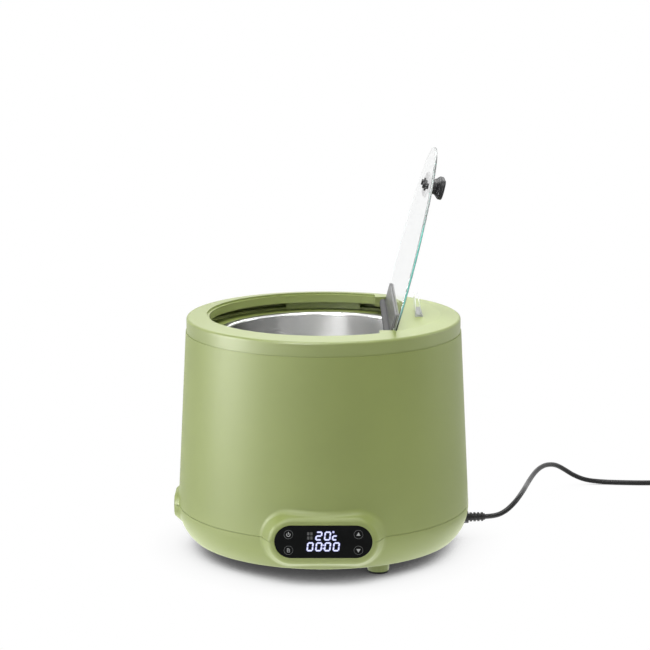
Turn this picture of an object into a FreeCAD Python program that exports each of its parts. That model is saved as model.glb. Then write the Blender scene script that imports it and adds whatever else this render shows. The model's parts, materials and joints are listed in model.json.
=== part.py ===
"""Electric pot warmer: moulded casing, insert pot, lift-off top ring and hinged glass lid.

Millimetres. +Z is up, the floor is z = 0 and the pot's axis is the Z axis. The display faces -Y.
The lid's pieces are drawn closed, about the hinge axis, and are turned to the open rest position.
"""
import FreeCAD, Part
import math
import os

import Sketcher

Vector = FreeCAD.Vector
Rotation = FreeCAD.Rotation
Placement = FreeCAD.Placement
UP = Vector(0, 0, 1)
ALONG_Y = Vector(0, 1, 0)

# Driving sizes in millimetres, angles in degrees.
SIZES = {
    # casing
    "foot_height": 16.5, "base_height": 39.5, "body_height": 212, "base_radius": 177, "wall": 3,
    "base_inset": 16, "slope_run": 11, "rim_width": 14, "ledge_drop": 3, "base_edge_round": 5,
    "seam_bevel": 0.6,
    # raised display pad on the front
    "pad_stand": 6, "pad_side": 6, "pad_rim": 7, "pad_above_seam": 0.5, "pad_spread": 11,
    "pad_bury": 5.25, "pad_taper_angle": 24, "pad_edge_round": 6, "pad_root_round": 8, "window_bevel": 0.5,
    # raised boss on the left
    "boss_stand": 4.4, "boss_width": 52, "boss_tall": 26, "boss_below_seam": 3, "boss_depth": 11,
    "boss_taper_angle": 40, "boss_edge_round": 4, "boss_root_round": 4,
    # feet
    "foot_inset": 46, "foot_turn": 29.5, "foot_top_radius": 14, "foot_low_radius": 12.5,
    "rubber_inset": 0.8, "rubber_thick": 2.5, "rubber_stem_radius": 3, "rubber_stem": 4,
    # screws and posts that join the base pan to the body
    "post_inset": 27, "post_turn": 45, "post_radius": 6, "post_rise": 30, "web_thick": 4,
    "base_screw_radius": 2, "base_head_radius": 3.6, "base_head_tall": 3, "base_head_sink": 8,
    "screw_bite": 18, "screw_gap": 0.05, "head_gap": 0.4,
    # insert pot
    "pot_margin": 31, "pot_floor_rise": 16.8, "pot_sheet": 0.8, "pot_flange": 7.5, "pot_corner": 14,
    "pot_lip_round": 2,
    # heating well and what is clamped under it
    "well_gap": 2.5, "well_flange": 21, "well_thick": 1.2, "well_floor_gap": 3, "well_corner": 12,
    "stud_radius": 3, "stud_length": 23, "plate_margin": 36, "plate_thick": 6,
    "element_inset": 25, "element_radius": 4, "element_sweep_angle": 330, "groove_depth": 5, "groove_gap": 0.2,
    "clamp_inset": 13, "clamp_thick": 1, "stud_hole_gap": 0.3, "nut_across": 10, "nut_tall": 5,
    "shield_overhang": 15, "shield_thick": 0.8, "well_screw_out": 14, "well_screw_radius": 1.5,
    "well_screw_head": 3, "well_screw_head_tall": 2, "well_screw_skin": 0.8,
    "cutout_radius": 7.5, "probe_radius": 4, "sensor_out": 12, "clip_lap": 9.5, "clip_reach": 21,
    "clip_width": 10, "clip_thick": 1, "clip_screw_radius": 1.5, "clip_screw_inset": 5,
    "clip_screw_bite": 4, "clip_screw_head": 2.8, "clip_screw_head_tall": 1.8,
    # top ring
    "ring_inset": 1, "ring_height": 17, "ring_crown": 3, "ring_plate": 3, "ring_edge_round": 3,
    "lip_out": 16.5, "lip_thick": 6, "lip_bottom_drop": 12, "rebate_gap": 1, "rebate_depth": 2.5,
    "deck_out": 10.8, "bay_in": 10, "bay_end_margin": 10.44, "lug_length": 12,
    "tab_reach": 4, "tab_gap": 0.5, "tab_left": -47.5, "tab_right": 46.4, "tab_float": 1,
    # hinge and lid
    "hinge_inset": 65, "hinge_drop": 6.5, "open_angle": 104.4, "rod_radius": 2, "rod_seat": 10.5,
    "hinge_gap": 0.05, "barrel_radius": 4.2, "leaf_reach": 26, "leaf_thick": 2, "leaf_end_gap": 1.5,
    "leaf_pad_thick": 0.5,
    "leaf_pad_start": 6, "glass_lap": 2, "glass_thick": 3, "glass_seat_gap": 0.3, "glass_bevel": 0.5,
    "glass_tail": 5.5, "notch_end_gap": 1, "notch_in": 11, "guard_thick": 1, "guard_inset": 0.4,
    # handle on the lid
    "handle_from_edge": 45, "handle_length": 60, "handle_width": 28, "handle_flange": 2.5,
    "handle_flange_round": 1.2, "handle_neck_width": 15, "handle_neck": 6, "handle_flare": 5,
    "handle_cap_width": 24, "handle_cap": 5, "handle_round": 1.8, "gasket_thick": 0.8, "gasket_inset": 1,
    "handle_screw_inset": 15, "handle_screw_radius": 2, "handle_screw_bite": 8,
    "handle_head_radius": 3.5, "handle_head_tall": 2.5, "washer_radius": 6, "washer_thick": 1,
    "glass_hole_radius": 3,
    # card clip on the deck
    "card_out": 39.5, "card_length": 50, "card_tall": 23.5, "card_base": 9.5, "card_top": 4.4, "card_lean": 3,
    "card_plate": 1, "card_floor": 3, "card_slot_low": 6.5, "card_peg_radius": 2, "card_peg_pitch": 30,
    # display
    "panel_width": 112, "panel_tall": 38.4, "panel_sink": 0.3, "panel_gap": 0.15,
    "carrier_lap": 2.5, "carrier_rim": 6.4, "carrier_thick": 6, "board_thick": 1.6, "board_inset": 0.7,
    "led_width": 44, "led_tall": 28, "led_gap": 0.3, "key_out": 3.2, "key_top": 10.5, "key_bottom": 9.2,
    "key_post_radius": 4.2, "display_screw_radius": 1.1, "display_screw_head": 2,
    "display_screw_head_tall": 1.4, "display_screw_side": 26,
    # power board in the base
    "power_x": -4, "power_y": 38, "power_long": 116, "power_wide": 70, "power_rise": 6,
    "standoff_radius": 3.5, "standoff_inset": 6, "power_screw_radius": 1.5, "power_screw_head": 2.8,
    "power_screw_head_tall": 2, "power_screw_bite": 4.5, "part_inset": 3,
    "terminal_long": 10, "terminal_wide": 24, "terminal_tall": 12,
    "relay_long": 19, "relay_wide": 15, "relay_tall": 15, "relay_shift": 18,
    "transformer_long": 30, "transformer_wide": 26, "transformer_tall": 19, "transformer_inset": 14,
    "capacitor_long": 18, "capacitor_wide": 8, "capacitor_tall": 14,
    # mains lead
    "exit_turn": 6, "exit_rise": 11.1, "relief_radius": 7.5, "relief_in": 25, "relief_block_out": 2.5,
    "relief_end_out": 23.5, "relief_neck_start": 4.4, "relief_neck_end": 4.1, "relief_rib": 1.4,
    "relief_ribs": 4, "cord_diameter": 6.3, "lead_straight": 12,
    "coil_turns": 2, "coil_inner_radius": 27, "coil_space": 1.9, "coil_layer_gap": 0.7, "coil_ramp": 50,
    "tie_wide": 9, "tie_thick": 1, "tie_gap": 0.4,
    # plug
    "plug_tail_radius": 5.5, "plug_tail": 20, "plug_body_radius": 18, "plug_grip_radius": 14,
    "plug_taper": 16, "plug_body": 20, "plug_lift": 0.1, "pin_radius": 2.4, "pin_length": 19,
    "pin_pitch": 19, "pin_seat": 12, "plug_round": 2,
}

# Sizes that follow from the driving ones, as formulas of the sheet.
FOLLOWING = {
    "base_floor_radius": "base_radius - base_inset",
    "rim_radius": "base_radius - slope_run",
    "step_radius": "rim_radius - rim_width",
    "pad_face": "base_radius + pad_stand",
    "pad_width": "panel_width + 2 * pad_side",
    "pad_tall": "panel_tall + 2 * pad_rim",
    "pad_foot_half": "pad_width / 2 + pad_spread",
    "pad_depth": "pad_face - sqrt(base_radius * base_radius - pad_foot_half * pad_foot_half) + pad_bury",
    "pad_middle": "foot_height + base_height + pad_above_seam",
    "boss_face": "base_radius + boss_stand",
    "boss_middle": "foot_height + base_height - boss_below_seam",
    "foot_circle": "base_radius - foot_inset",
    "rubber_radius": "foot_low_radius - rubber_inset",
    "post_circle": "base_radius - post_inset",
    "pot_radius": "step_radius - pot_margin",
    "pot_depth": "body_height - ledge_drop + pot_sheet - pot_floor_rise",
    "pot_flange_radius": "pot_radius + pot_flange",
    "well_hole_radius": "pot_radius + well_gap",
    "well_flange_radius": "pot_radius + well_flange",
    "well_screw_circle": "pot_radius + well_screw_out",
    "plate_radius": "pot_radius - plate_margin",
    "element_circle": "plate_radius - element_inset",
    "clamp_radius": "plate_radius - clamp_inset",
    "shield_radius": "plate_radius + shield_overhang",
    "sensor_circle": "plate_radius + sensor_out",
    "clip_start": "plate_radius - clip_lap",
    "clip_end": "plate_radius + clip_reach",
    "clip_screw_circle": "plate_radius - clip_screw_inset",
    "ring_radius": "rim_radius - ring_inset",
    "lip_radius": "pot_radius + lip_out",
    "glass_radius": "lip_radius + glass_lap",
    "rebate_radius": "glass_radius + rebate_gap",
    "tab_inner_radius": "step_radius - tab_reach",
    "hinge_x": "glass_radius - hinge_inset",
    "deck_edge": "hinge_x + deck_out",
    "hinge_bay_start": "hinge_x - bay_in",
    "hinge_bay_half": "sqrt(glass_radius * glass_radius - hinge_x * hinge_x) - bay_end_margin",
    "leaf_half": "hinge_bay_half - leaf_end_gap",
    "glass_notch_half": "hinge_bay_half - notch_end_gap",
    "glass_notch_start": "hinge_x - notch_in",
    "glass_edge": "hinge_x + glass_tail",
    "handle_screw_pitch": "handle_length - 2 * handle_screw_inset",
    "card_x": "hinge_x + card_out",
    "key_x": "(panel_width - panel_tall) / 2 + key_out",
    "key_high": "panel_tall / 2 - key_top",
    "key_low": "panel_tall / 2 - key_bottom",
    "display_screw_x": "panel_width / 2 - display_screw_side",
    "exit_height": "foot_height + exit_rise",
    "relief_inner_radius": "base_radius - relief_in",
    "relief_block_radius": "base_radius + relief_block_out",
    "relief_end_radius": "base_radius + relief_end_out",
    "coil_step": "cord_diameter + coil_space",
    "coil_layer_rise": "cord_diameter + coil_layer_gap",
    "plug_axis_height": "plug_body_radius + plug_lift",
}

# Where the two sensors sit round the heater plate, in degrees.
SENSOR_ANGLES = (30, 200)

# The lead's bends: X and Y from the sleeve's end in lead diameters, and a height as a share of the sleeve's.
LEAD_RAISED = [
    (4.02, 0.88, 1.17), (6.13, 2.69, 1.54), (7.49, 5.30, 1.77), (8.55, 9.20, 1.78), (9.02, 11.71, 1.71),
    (9.39, 13.88, 1.64), (9.91, 16.57, 1.56), (10.85, 20.57, 1.53), (11.89, 24.03, 1.56),
    (12.83, 26.62, 1.59), (13.92, 29.12, 1.60), (15.37, 31.92, 1.54), (17.14, 34.76, 1.36),
    (18.53, 36.56, 1.13), (20.05, 38.05, 0.82), (21.97, 39.24, 0.44), (24.64, 40.04, 0.11),
]
# The same where it lies on the floor.
LEAD_LYING = [(28.03, 40.24), (32.0, 39.69), (37.24, 39.37), (42.63, 39.69), (47.56, 40.96)]

doc = FreeCAD.newDocument("pot_warmer")
sheet = doc.addObject("Spreadsheet::Sheet", "sizes")
cells = {name: str(size) for name, size in SIZES.items()}
cells.update({name: f"={formula}" for name, formula in FOLLOWING.items()})
for row, (name, content) in enumerate(cells.items(), start=1):
    sheet.set(f"A{row}", name)
    sheet.setAlias(f"B{row}", name)
    sheet.set(f"B{row}", content)
doc.recompute()


class Dim:
    """A size that knows its value and the sheet expression that gives it."""

    def __init__(self, value, text):
        self.value = float(value)
        self.text = text

    def __add__(self, other):
        other = as_dim(other)
        return Dim(self.value + other.value, f"({self.text} + {other.text})")

    def __sub__(self, other):
        other = as_dim(other)
        return Dim(self.value - other.value, f"({self.text} - {other.text})")

    def __mul__(self, other):
        other = as_dim(other)
        return Dim(self.value * other.value, f"({self.text} * {other.text})")

    def __truediv__(self, other):
        other = as_dim(other)
        return Dim(self.value / other.value, f"({self.text} / {other.text})")

    def __neg__(self):
        return Dim(-self.value, f"(0 - {self.text})")

    __radd__ = __add__
    __rmul__ = __mul__

    def __rsub__(self, other):
        return as_dim(other) - self


def as_dim(size):
    return size if isinstance(size, Dim) else Dim(size, f"({float(size):.9g})")


def root(size):
    """Square root of a Dim."""
    return Dim(math.sqrt(size.value), f"sqrt({size.text})")


def side(long, short):
    """The third side of a right triangle, from its longest side and another."""
    return root(long * long - short * short)


def cosine(angle):
    return Dim(math.cos(math.radians(angle.value)), f"cos({angle.text})")


def sine(angle):
    return Dim(math.sin(math.radians(angle.value)), f"sin({angle.text})")


def size(name):
    return Dim(sheet.get(name), f"sizes.{name}")


class Sizes:
    """Gives each cell of the sheet as a Dim, by its alias."""

    def __getattr__(self, name):
        return size(name)


S = Sizes()
ZERO = as_dim(0)
PIECES = {}


def bind(thing, prop, dim):
    thing.setExpression(prop, as_dim(dim).text)


def place(thing, x=0, y=0, z=0, turn=None):
    """Puts an object at x, y, z and turns it; its place follows the sheet."""
    dims = [as_dim(v) for v in (x, y, z)]
    thing.Placement = Placement(Vector(*[d.value for d in dims]), turn or Rotation())
    for letter, dim in zip("xyz", dims):
        bind(thing, f"Placement.Base.{letter}", dim)
    return thing


def keep(label, thing):
    """Names a finished sub-part."""
    thing.Label = label
    PIECES[label] = thing
    return thing


# Sketches and part design features


def new_body(name):
    return doc.addObject("PartDesign::Body", f"{name}_body")


def new_sketch(body, plane, height=0):
    """A sketch on an origin plane of its body, moved along the plane's normal."""
    sketch = body.newObject("Sketcher::SketchObject", f"{body.Name}_sketch")
    support = [o for o in body.Origin.OriginFeatures if o.Role == f"{plane}_Plane"][0]
    sketch.AttachmentSupport = [(support, "")]
    sketch.MapMode = "FlatFace"
    height = as_dim(height)
    sketch.AttachmentOffset = Placement(Vector(0, 0, height.value), Rotation())
    bind(sketch, "AttachmentOffset.Base.z", height)
    return sketch


def constrain(sketch, kind, *where_and_dim):
    *where, dim = where_and_dim
    index = sketch.addConstraint(Sketcher.Constraint(kind, *where, dim.value))
    bind(sketch, f"Constraints[{index}]", dim)


def half_way(start, stop, centre, way):
    """The middle of an arc about a centre; way is 1 where it runs anticlockwise and -1 otherwise."""
    first = math.atan2(start.y - centre.y, start.x - centre.x)
    last = math.atan2(stop.y - centre.y, stop.x - centre.x)
    sweep = (way * (last - first)) % (2 * math.pi)
    angle = first + way * sweep / 2
    reach = start.distanceToPoint(centre)
    return centre + Vector(math.cos(angle), math.sin(angle), 0) * reach


def outline(sketch, corners, arcs=None):
    """A closed outline. arcs gives, for the side after a corner, its centre and the way it turns."""
    arcs = arcs or {}
    corners = [(as_dim(x), as_dim(y)) for x, y in corners]
    flat = [Vector(x.value, y.value, 0) for x, y in corners]
    ends = []
    for i, start in enumerate(flat):
        stop = flat[(i + 1) % len(flat)]
        if i in arcs:
            x, y, way = arcs[i]
            centre = Vector(as_dim(x).value, as_dim(y).value, 0)
            geo = sketch.addGeometry(Part.Arc(start, half_way(start, stop, centre, way), stop))
        else:
            geo = sketch.addGeometry(Part.LineSegment(start, stop))
        forward = sketch.getPoint(geo, 1).distanceToPoint(start) < 1e-6
        ends.append((geo, 1, 2) if forward else (geo, 2, 1))
    for i, (geo, _, last) in enumerate(ends):
        after, after_first, _ = ends[(i + 1) % len(ends)]
        sketch.addConstraint(Sketcher.Constraint("Coincident", geo, last, after, after_first))
    for (geo, first, _), (x, y) in zip(ends, corners):
        constrain(sketch, "DistanceX", geo, first, x)
        constrain(sketch, "DistanceY", geo, first, y)
    for i, (x, y, _) in arcs.items():
        chord = flat[(i + 1) % len(flat)] - flat[i]
        if abs(chord.y) > abs(chord.x):
            constrain(sketch, "DistanceX", ends[i][0], 3, as_dim(x))
        else:
            constrain(sketch, "DistanceY", ends[i][0], 3, as_dim(y))


def circle(sketch, x, y, radius):
    x, y, radius = as_dim(x), as_dim(y), as_dim(radius)
    geo = sketch.addGeometry(Part.Circle(Vector(x.value, y.value, 0), UP, radius.value))
    constrain(sketch, "DistanceX", geo, 3, x)
    constrain(sketch, "DistanceY", geo, 3, y)
    constrain(sketch, "Radius", geo, radius)


def rectangle(sketch, left, right, low, high):
    outline(sketch, [(left, low), (right, low), (right, high), (left, high)])


def stadium(sketch, x, y, width, tall, upright=False):
    """A bar with round ends, centred on x, y, that lies along the sketch's first axis or stands upright."""
    half, end = (width - tall) / 2, tall / 2
    x, y = as_dim(x), as_dim(y)
    if upright:
        corners = [(x + end, y - half), (x + end, y + half), (x - end, y + half), (x - end, y - half)]
        outline(sketch, corners, {1: (x, y + half, 1), 3: (x, y - half, 1)})
    else:
        corners = [(x - half, y - end), (x + half, y - end), (x + half, y + end), (x - half, y + end)]
        outline(sketch, corners, {1: (x + half, y, 1), 3: (x - half, y, 1)})


def revolve(body, sketch, kind="PartDesign::Revolution"):
    feature = body.newObject(kind, f"{body.Name}_turned")
    feature.Profile = sketch
    feature.ReferenceAxis = (sketch, ["V_Axis"])
    feature.Angle = 360
    return feature


def pad(body, sketch, length, kind="PartDesign::Pad", back=False, middle=False, taper=None):
    feature = body.newObject(kind, f"{body.Name}_pad")
    feature.Profile = sketch
    feature.Reversed = back
    if middle:
        feature.SideType = "Symmetric"
    bind(feature, "Length", length)
    if taper is not None:
        bind(feature, "TaperAngle", taper)
    return feature


def pocket(body, sketch, length, **how):
    """Cuts along the sketch's normal, where a plain pocket cuts against it."""
    how["back"] = not how.get("back", False)
    return pad(body, sketch, length, kind="PartDesign::Pocket", **how)


def dress(body, feature, wanted, dim, kind="PartDesign::Fillet", prop="Radius"):
    """Rounds or bevels the edges of a feature that wanted picks out."""
    doc.recompute()
    names = [f"Edge{i}" for i, e in enumerate(feature.Shape.Edges, start=1) if wanted(e)]
    if not names:
        raise ValueError(f"{body.Name}: no edge to round")
    finish = body.newObject(kind, f"{body.Name}_edge")
    finish.Base = (feature, names)
    bind(finish, prop, dim)
    return finish


def middle_of(edge):
    return edge.valueAt((edge.FirstParameter + edge.LastParameter) / 2)


# Primitives and booleans


def cylinder(radius, height, x=0, y=0, z=0, turn=None):
    thing = doc.addObject("Part::Cylinder", "cylinder")
    bind(thing, "Radius", radius)
    bind(thing, "Height", height)
    return place(thing, x, y, z, turn)


def box(long, wide, tall, x=0, y=0, z=0):
    """A box centred on x and y that stands on z."""
    thing = doc.addObject("Part::Box", "box")
    long, wide, tall = as_dim(long), as_dim(wide), as_dim(tall)
    bind(thing, "Length", long)
    bind(thing, "Width", wide)
    bind(thing, "Height", tall)
    return place(thing, as_dim(x) - long / 2, as_dim(y) - wide / 2, z)


def fuse(*things):
    joined = doc.addObject("Part::MultiFuse", "joined")
    joined.Shapes = list(things)
    return joined


def cut(base, *tools):
    for tool in tools:
        result = doc.addObject("Part::Cut", "cut")
        result.Base, result.Tool = base, tool
        base = result
    return base


def common(first, second):
    result = doc.addObject("Part::Common", "common")
    result.Base, result.Tool = first, second
    return result


def group(*things):
    """Separate solids that share one node."""
    if len(things) == 1:
        return things[0]
    together = doc.addObject("Part::Compound", "group")
    together.Links = list(things)
    return together


def around(circle_radius, angle):
    """The place at an angle in degrees round the pot's axis, from +X towards +Y."""
    return circle_radius * cosine(as_dim(angle)), circle_radius * sine(as_dim(angle))


# Heights and radii that several pieces share

FLOOR_INSIDE = S.foot_height + S.wall
SEAM = S.foot_height + S.base_height
RIM = SEAM + S.body_height
LEDGE = RIM - S.ledge_drop
LEDGE_UNDER = LEDGE - S.wall
RING_EDGE = RIM + S.ring_height
RING_TOP = RING_EDGE + S.ring_crown
REBATE_FLOOR = RING_TOP - S.rebate_depth
LIP_BOTTOM = RING_TOP - S.lip_bottom_drop
HINGE_Z = RING_TOP - S.hinge_drop
SLOPE_RUN = S.base_radius - S.rim_radius
SLOPE_LENGTH = root(SLOPE_RUN * SLOPE_RUN + S.body_height * S.body_height)
SLOPE_COS, SLOPE_SIN = S.body_height / SLOPE_LENGTH, SLOPE_RUN / SLOPE_LENGTH
# the base's side is one arc, tangent to the body's slope at the seam
BASE_IN = S.base_radius - S.base_floor_radius
BASE_ARC = (BASE_IN * BASE_IN + S.base_height * S.base_height) / (
    2 * (BASE_IN * SLOPE_COS + S.base_height * SLOPE_SIN)
)
BASE_ARC_R = S.base_radius - BASE_ARC * SLOPE_COS
BASE_ARC_Z = SEAM - BASE_ARC * SLOPE_SIN
POT_BOTTOM = LEDGE + S.pot_sheet - S.pot_depth
WELL_FLOOR = POT_BOTTOM - S.well_floor_gap
WELL_UNDER = WELL_FLOOR - S.well_thick


def base_arc_radius(height, inset=0):
    """How far the base's side is from the axis at a height, or a wall inside it."""
    return BASE_ARC_R + side(BASE_ARC - inset, BASE_ARC_Z - height)


def casing_hull():
    """Body and base as one shell, with the display pad and the side boss, before it is split at the seam."""
    hull = new_body("casing")
    solid = new_sketch(hull, "XZ")
    corners = [
        (ZERO, S.foot_height), (S.base_floor_radius, S.foot_height), (S.base_radius, SEAM),
        (S.rim_radius, RIM), (S.step_radius, RIM), (S.step_radius, LEDGE), (ZERO, LEDGE),
    ]
    outline(solid, corners, {1: (BASE_ARC_R, BASE_ARC_Z, 1)})
    feature = revolve(hull, solid)
    feature = dress(hull, feature, on_floor_edge, S.base_edge_round)

    front = new_sketch(hull, "XZ", S.pad_face)
    stadium(front, 0, S.pad_middle, S.pad_width, S.pad_tall)
    feature = pad(hull, front, S.pad_depth, back=True, taper=S.pad_taper_angle)
    feature = dress(hull, feature, on_pad_root, S.pad_root_round)
    feature = dress(hull, feature, on_pad_face, S.pad_edge_round)

    left = new_sketch(hull, "YZ", -S.boss_face)
    stadium(left, 0, S.boss_middle, S.boss_width, S.boss_tall)
    feature = pad(hull, left, S.boss_depth, taper=S.boss_taper_angle)
    feature = dress(hull, feature, on_boss_root, S.boss_root_round)
    feature = dress(hull, feature, on_boss_face, S.boss_edge_round)

    hollow = new_sketch(hull, "XZ")
    inner_low = base_arc_radius(FLOOR_INSIDE, S.wall)
    corners = [
        (ZERO, FLOOR_INSIDE), (inner_low, FLOOR_INSIDE),
        (S.base_radius - S.wall * SLOPE_COS, SEAM - S.wall * SLOPE_SIN),
        (S.rim_radius - S.wall, RIM - S.wall), (S.step_radius + S.wall, RIM - S.wall),
        (S.step_radius + S.wall, LEDGE_UNDER), (S.well_hole_radius, LEDGE_UNDER),
        (S.well_hole_radius, LEDGE + S.wall), (ZERO, LEDGE + S.wall),
    ]
    outline(hollow, corners, {1: (BASE_ARC_R, BASE_ARC_Z, 1)})
    revolve(hull, hollow, "PartDesign::Groove")

    behind = new_sketch(hull, "XZ", S.pad_face - S.wall)
    stadium(behind, 0, S.pad_middle, S.pad_width - 2 * S.wall, S.pad_tall - 2 * S.wall)
    pocket(hull, behind, S.pad_depth - S.wall, back=True, taper=S.pad_taper_angle)

    window = new_sketch(hull, "XZ", S.pad_face)
    gap = 2 * S.panel_gap
    stadium(window, 0, S.pad_middle, S.panel_width + gap, S.panel_tall + gap)
    feature = pocket(hull, window, 2 * S.wall, back=True)
    dress(hull, feature, on_window_edge, S.window_bevel, "PartDesign::Chamfer", "Size")
    return hull


def on_floor_edge(edge):
    at = middle_of(edge)
    low = abs(at.z - S.foot_height.value) < 1e-3
    return low and abs(math.hypot(at.x, at.y) - S.base_floor_radius.value) < 1e-3


def on_pad_face(edge):
    return all(abs(v.Y + S.pad_face.value) < 1e-3 for v in edge.Vertexes) and (
        abs(middle_of(edge).y + S.pad_face.value) < 1e-3
    )


def on_window_edge(edge):
    """The front edge of the display's window."""
    at = middle_of(edge)
    across = abs(at.x) < S.panel_width.value / 2 + S.wall.value / 2
    up = abs(at.z - S.pad_middle.value) < S.panel_tall.value / 2 + S.wall.value / 2
    return on_pad_face(edge) and across and up


def on_pad_root(edge):
    """Edges where the pad's sides meet the casing."""
    at = middle_of(edge)
    near = at.y < S.pad_depth.value - S.pad_face.value and not on_pad_face(edge)
    ends = [v.Point for v in edge.Vertexes]
    side_edge = any(abs(p.y + S.pad_face.value) < 1e-3 for p in ends)
    level = len(ends) == 2 and abs(ends[0].z - ends[1].z) < 1e-6 and abs(at.z - ends[0].z) < 1e-6
    seam_line = level and abs(at.z - SEAM.value) < 1e-3
    return near and not side_edge and not seam_line


def on_boss_face(edge):
    return all(abs(v.X + S.boss_face.value) < 1e-3 for v in edge.Vertexes) and (
        abs(middle_of(edge).x + S.boss_face.value) < 1e-3
    )


def on_boss_root(edge):
    """Edges where the boss's sides meet the casing."""
    at = middle_of(edge)
    near = at.x < S.boss_depth.value - S.boss_face.value + 1e-3 and not on_boss_face(edge)
    close = abs(at.y) < S.boss_width.value and abs(at.z - S.boss_middle.value) < S.boss_tall.value
    ends = [v.Point for v in edge.Vertexes]
    side_edge = any(abs(p.x + S.boss_face.value) < 1e-3 for p in ends)
    level = len(ends) == 2 and abs(ends[0].z - ends[1].z) < 1e-6 and abs(at.z - ends[0].z) < 1e-6
    seam_line = level and abs(at.z - SEAM.value) < 1e-3
    return near and close and not side_edge and not seam_line


hull = casing_hull()


def above_seam():
    """The hull above the seam, with its outer lower edge bevelled so that the seam shows as a fine line."""
    slab = box(4 * S.base_radius, 4 * S.base_radius, S.body_height + S.wall, z=SEAM)
    half = new_body("upper_casing")
    half.BaseFeature = common(hull, slab)
    doc.recompute()
    dress(half, half.Tip, on_seam_rim, S.seam_bevel, "PartDesign::Chamfer", "Size")
    return half


def below_seam():
    return common(hull, box(4 * S.base_radius, 4 * S.base_radius, SEAM, z=ZERO))


def on_seam_rim(edge):
    """The outer edge of a wall at the seam."""
    at = middle_of(edge)
    level = abs(edge.BoundBox.ZMax - SEAM.value) < 1e-4 and abs(edge.BoundBox.ZMin - SEAM.value) < 1e-4
    inside = math.hypot(at.x, at.y) < S.base_radius.value - S.wall.value / 2
    in_window = abs(at.x) < S.pad_width.value / 2 and at.y < 0 and at.y > S.wall.value / 2 - S.pad_face.value
    return level and not inside and not in_window


def corner_angles():
    return [S.post_turn + 90 * k for k in range(4)]


def outer_body():
    """The casing above the seam, with four screw posts inside."""
    things = [above_seam()]
    holes = []
    web_reach = S.base_radius - 2 * S.wall - S.post_circle + S.wall
    for angle in corner_angles():
        x, y = around(S.post_circle, angle)
        things.append(cylinder(S.post_radius, S.post_rise, x, y, SEAM))
        web = box(web_reach, S.web_thick, S.post_rise, S.post_circle + web_reach / 2, 0, SEAM)
        things.append(place(group_of(web), turn=Rotation(UP, angle.value)))
        deep = S.screw_bite + S.base_screw_radius
        holes.append(cylinder(S.base_screw_radius + S.screw_gap, deep, x, y, SEAM))
    for k in range(4):
        x, y = around(S.well_screw_circle, 90 * k)
        deep = S.wall - S.well_screw_skin
        holes.append(cylinder(S.well_screw_radius + S.screw_gap, deep, x, y, LEDGE_UNDER))
    keep("outer_body", cut(fuse(*things), fuse(*holes)))


def group_of(thing):
    """Wraps one object so that it can be turned about the pot's axis."""
    wrapped = doc.addObject("Part::Compound", "turned")
    wrapped.Links = [thing]
    return wrapped


def foot_places():
    """Each foot's place, counted from the front towards the right."""
    return [around(S.foot_circle, S.foot_turn - 90 + 120 * k) for k in range(3)]


def standoff_places():
    across = S.power_long / 2 - S.standoff_inset
    deep = S.power_wide / 2 - S.standoff_inset
    return [(S.power_x + i * across, S.power_y + j * deep) for i in (-1, 1) for j in (-1, 1)]


def base_pan():
    """The casing below the seam: feet, screw posts, board standoffs and the hole for the lead."""
    things = [below_seam()]
    holes = []
    for x, y in foot_places():
        stub = doc.addObject("Part::Cone", "foot")
        bind(stub, "Radius1", S.foot_low_radius)
        bind(stub, "Radius2", S.foot_top_radius)
        bind(stub, "Height", S.foot_height - S.rubber_thick + S.wall / 2)
        things.append(place(stub, x, y, S.rubber_thick))
        holes.append(cylinder(S.rubber_stem_radius, S.rubber_stem, x, y, S.rubber_thick))
    for angle in corner_angles():
        x, y = around(S.post_circle, angle)
        things.append(cylinder(S.post_radius, S.base_height - S.wall / 2, x, y, S.foot_height + S.wall / 2))
        holes.append(cylinder(S.base_screw_radius + S.screw_gap, S.base_height, x, y, S.foot_height))
        holes.append(cylinder(S.base_head_radius + S.head_gap, S.base_head_sink, x, y, S.foot_height))
    for x, y in standoff_places():
        things.append(cylinder(S.standoff_radius, S.power_rise + S.wall / 2, x, y, FLOOR_INSIDE - S.wall / 2))
        bite = S.power_screw_bite + S.power_screw_radius
        start = FLOOR_INSIDE + S.power_rise - bite
        holes.append(cylinder(S.power_screw_radius + S.screw_gap, bite, x, y, start))
    lead_hole = cylinder(S.relief_radius, S.relief_end_radius - S.relief_inner_radius)
    start_x, start_y = around(S.relief_inner_radius, S.exit_turn)
    holes.append(place(lead_hole, start_x, start_y, S.exit_height, outward()))
    keep("base_pan", cut(fuse(*things), fuse(*holes)))


def outward():
    """Turns +Z to point out of the casing where the lead leaves."""
    return Rotation(UP, S.exit_turn.value) * Rotation(ALONG_Y, 90)


def foot_pads():
    for number, (x, y) in enumerate(foot_places(), start=1):
        pad_disc = cylinder(S.rubber_radius, S.rubber_thick, x, y)
        stem = cylinder(S.rubber_stem_radius, S.rubber_stem, x, y, S.rubber_thick)
        keep(f"foot_pad_{number}", fuse(pad_disc, stem))


def screw(radius, length, head_radius, head_tall, x, y, seat, up=True):
    """A cap screw whose head bears on a seat. It points up, or down."""
    shank = cylinder(radius, length, x, y, seat if up else seat - length)
    head = cylinder(head_radius, head_tall, x, y, seat - head_tall if up else seat)
    return fuse(shank, head)


def base_screws():
    seat = S.foot_height + S.base_head_sink
    length = S.base_height - S.base_head_sink + S.screw_bite
    for number, angle in enumerate(corner_angles(), start=1):
        x, y = around(S.post_circle, angle)
        made = screw(S.base_screw_radius, length, S.base_head_radius, S.base_head_tall, x, y, seat)
        keep(f"base_screw_{number}", made)


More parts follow.
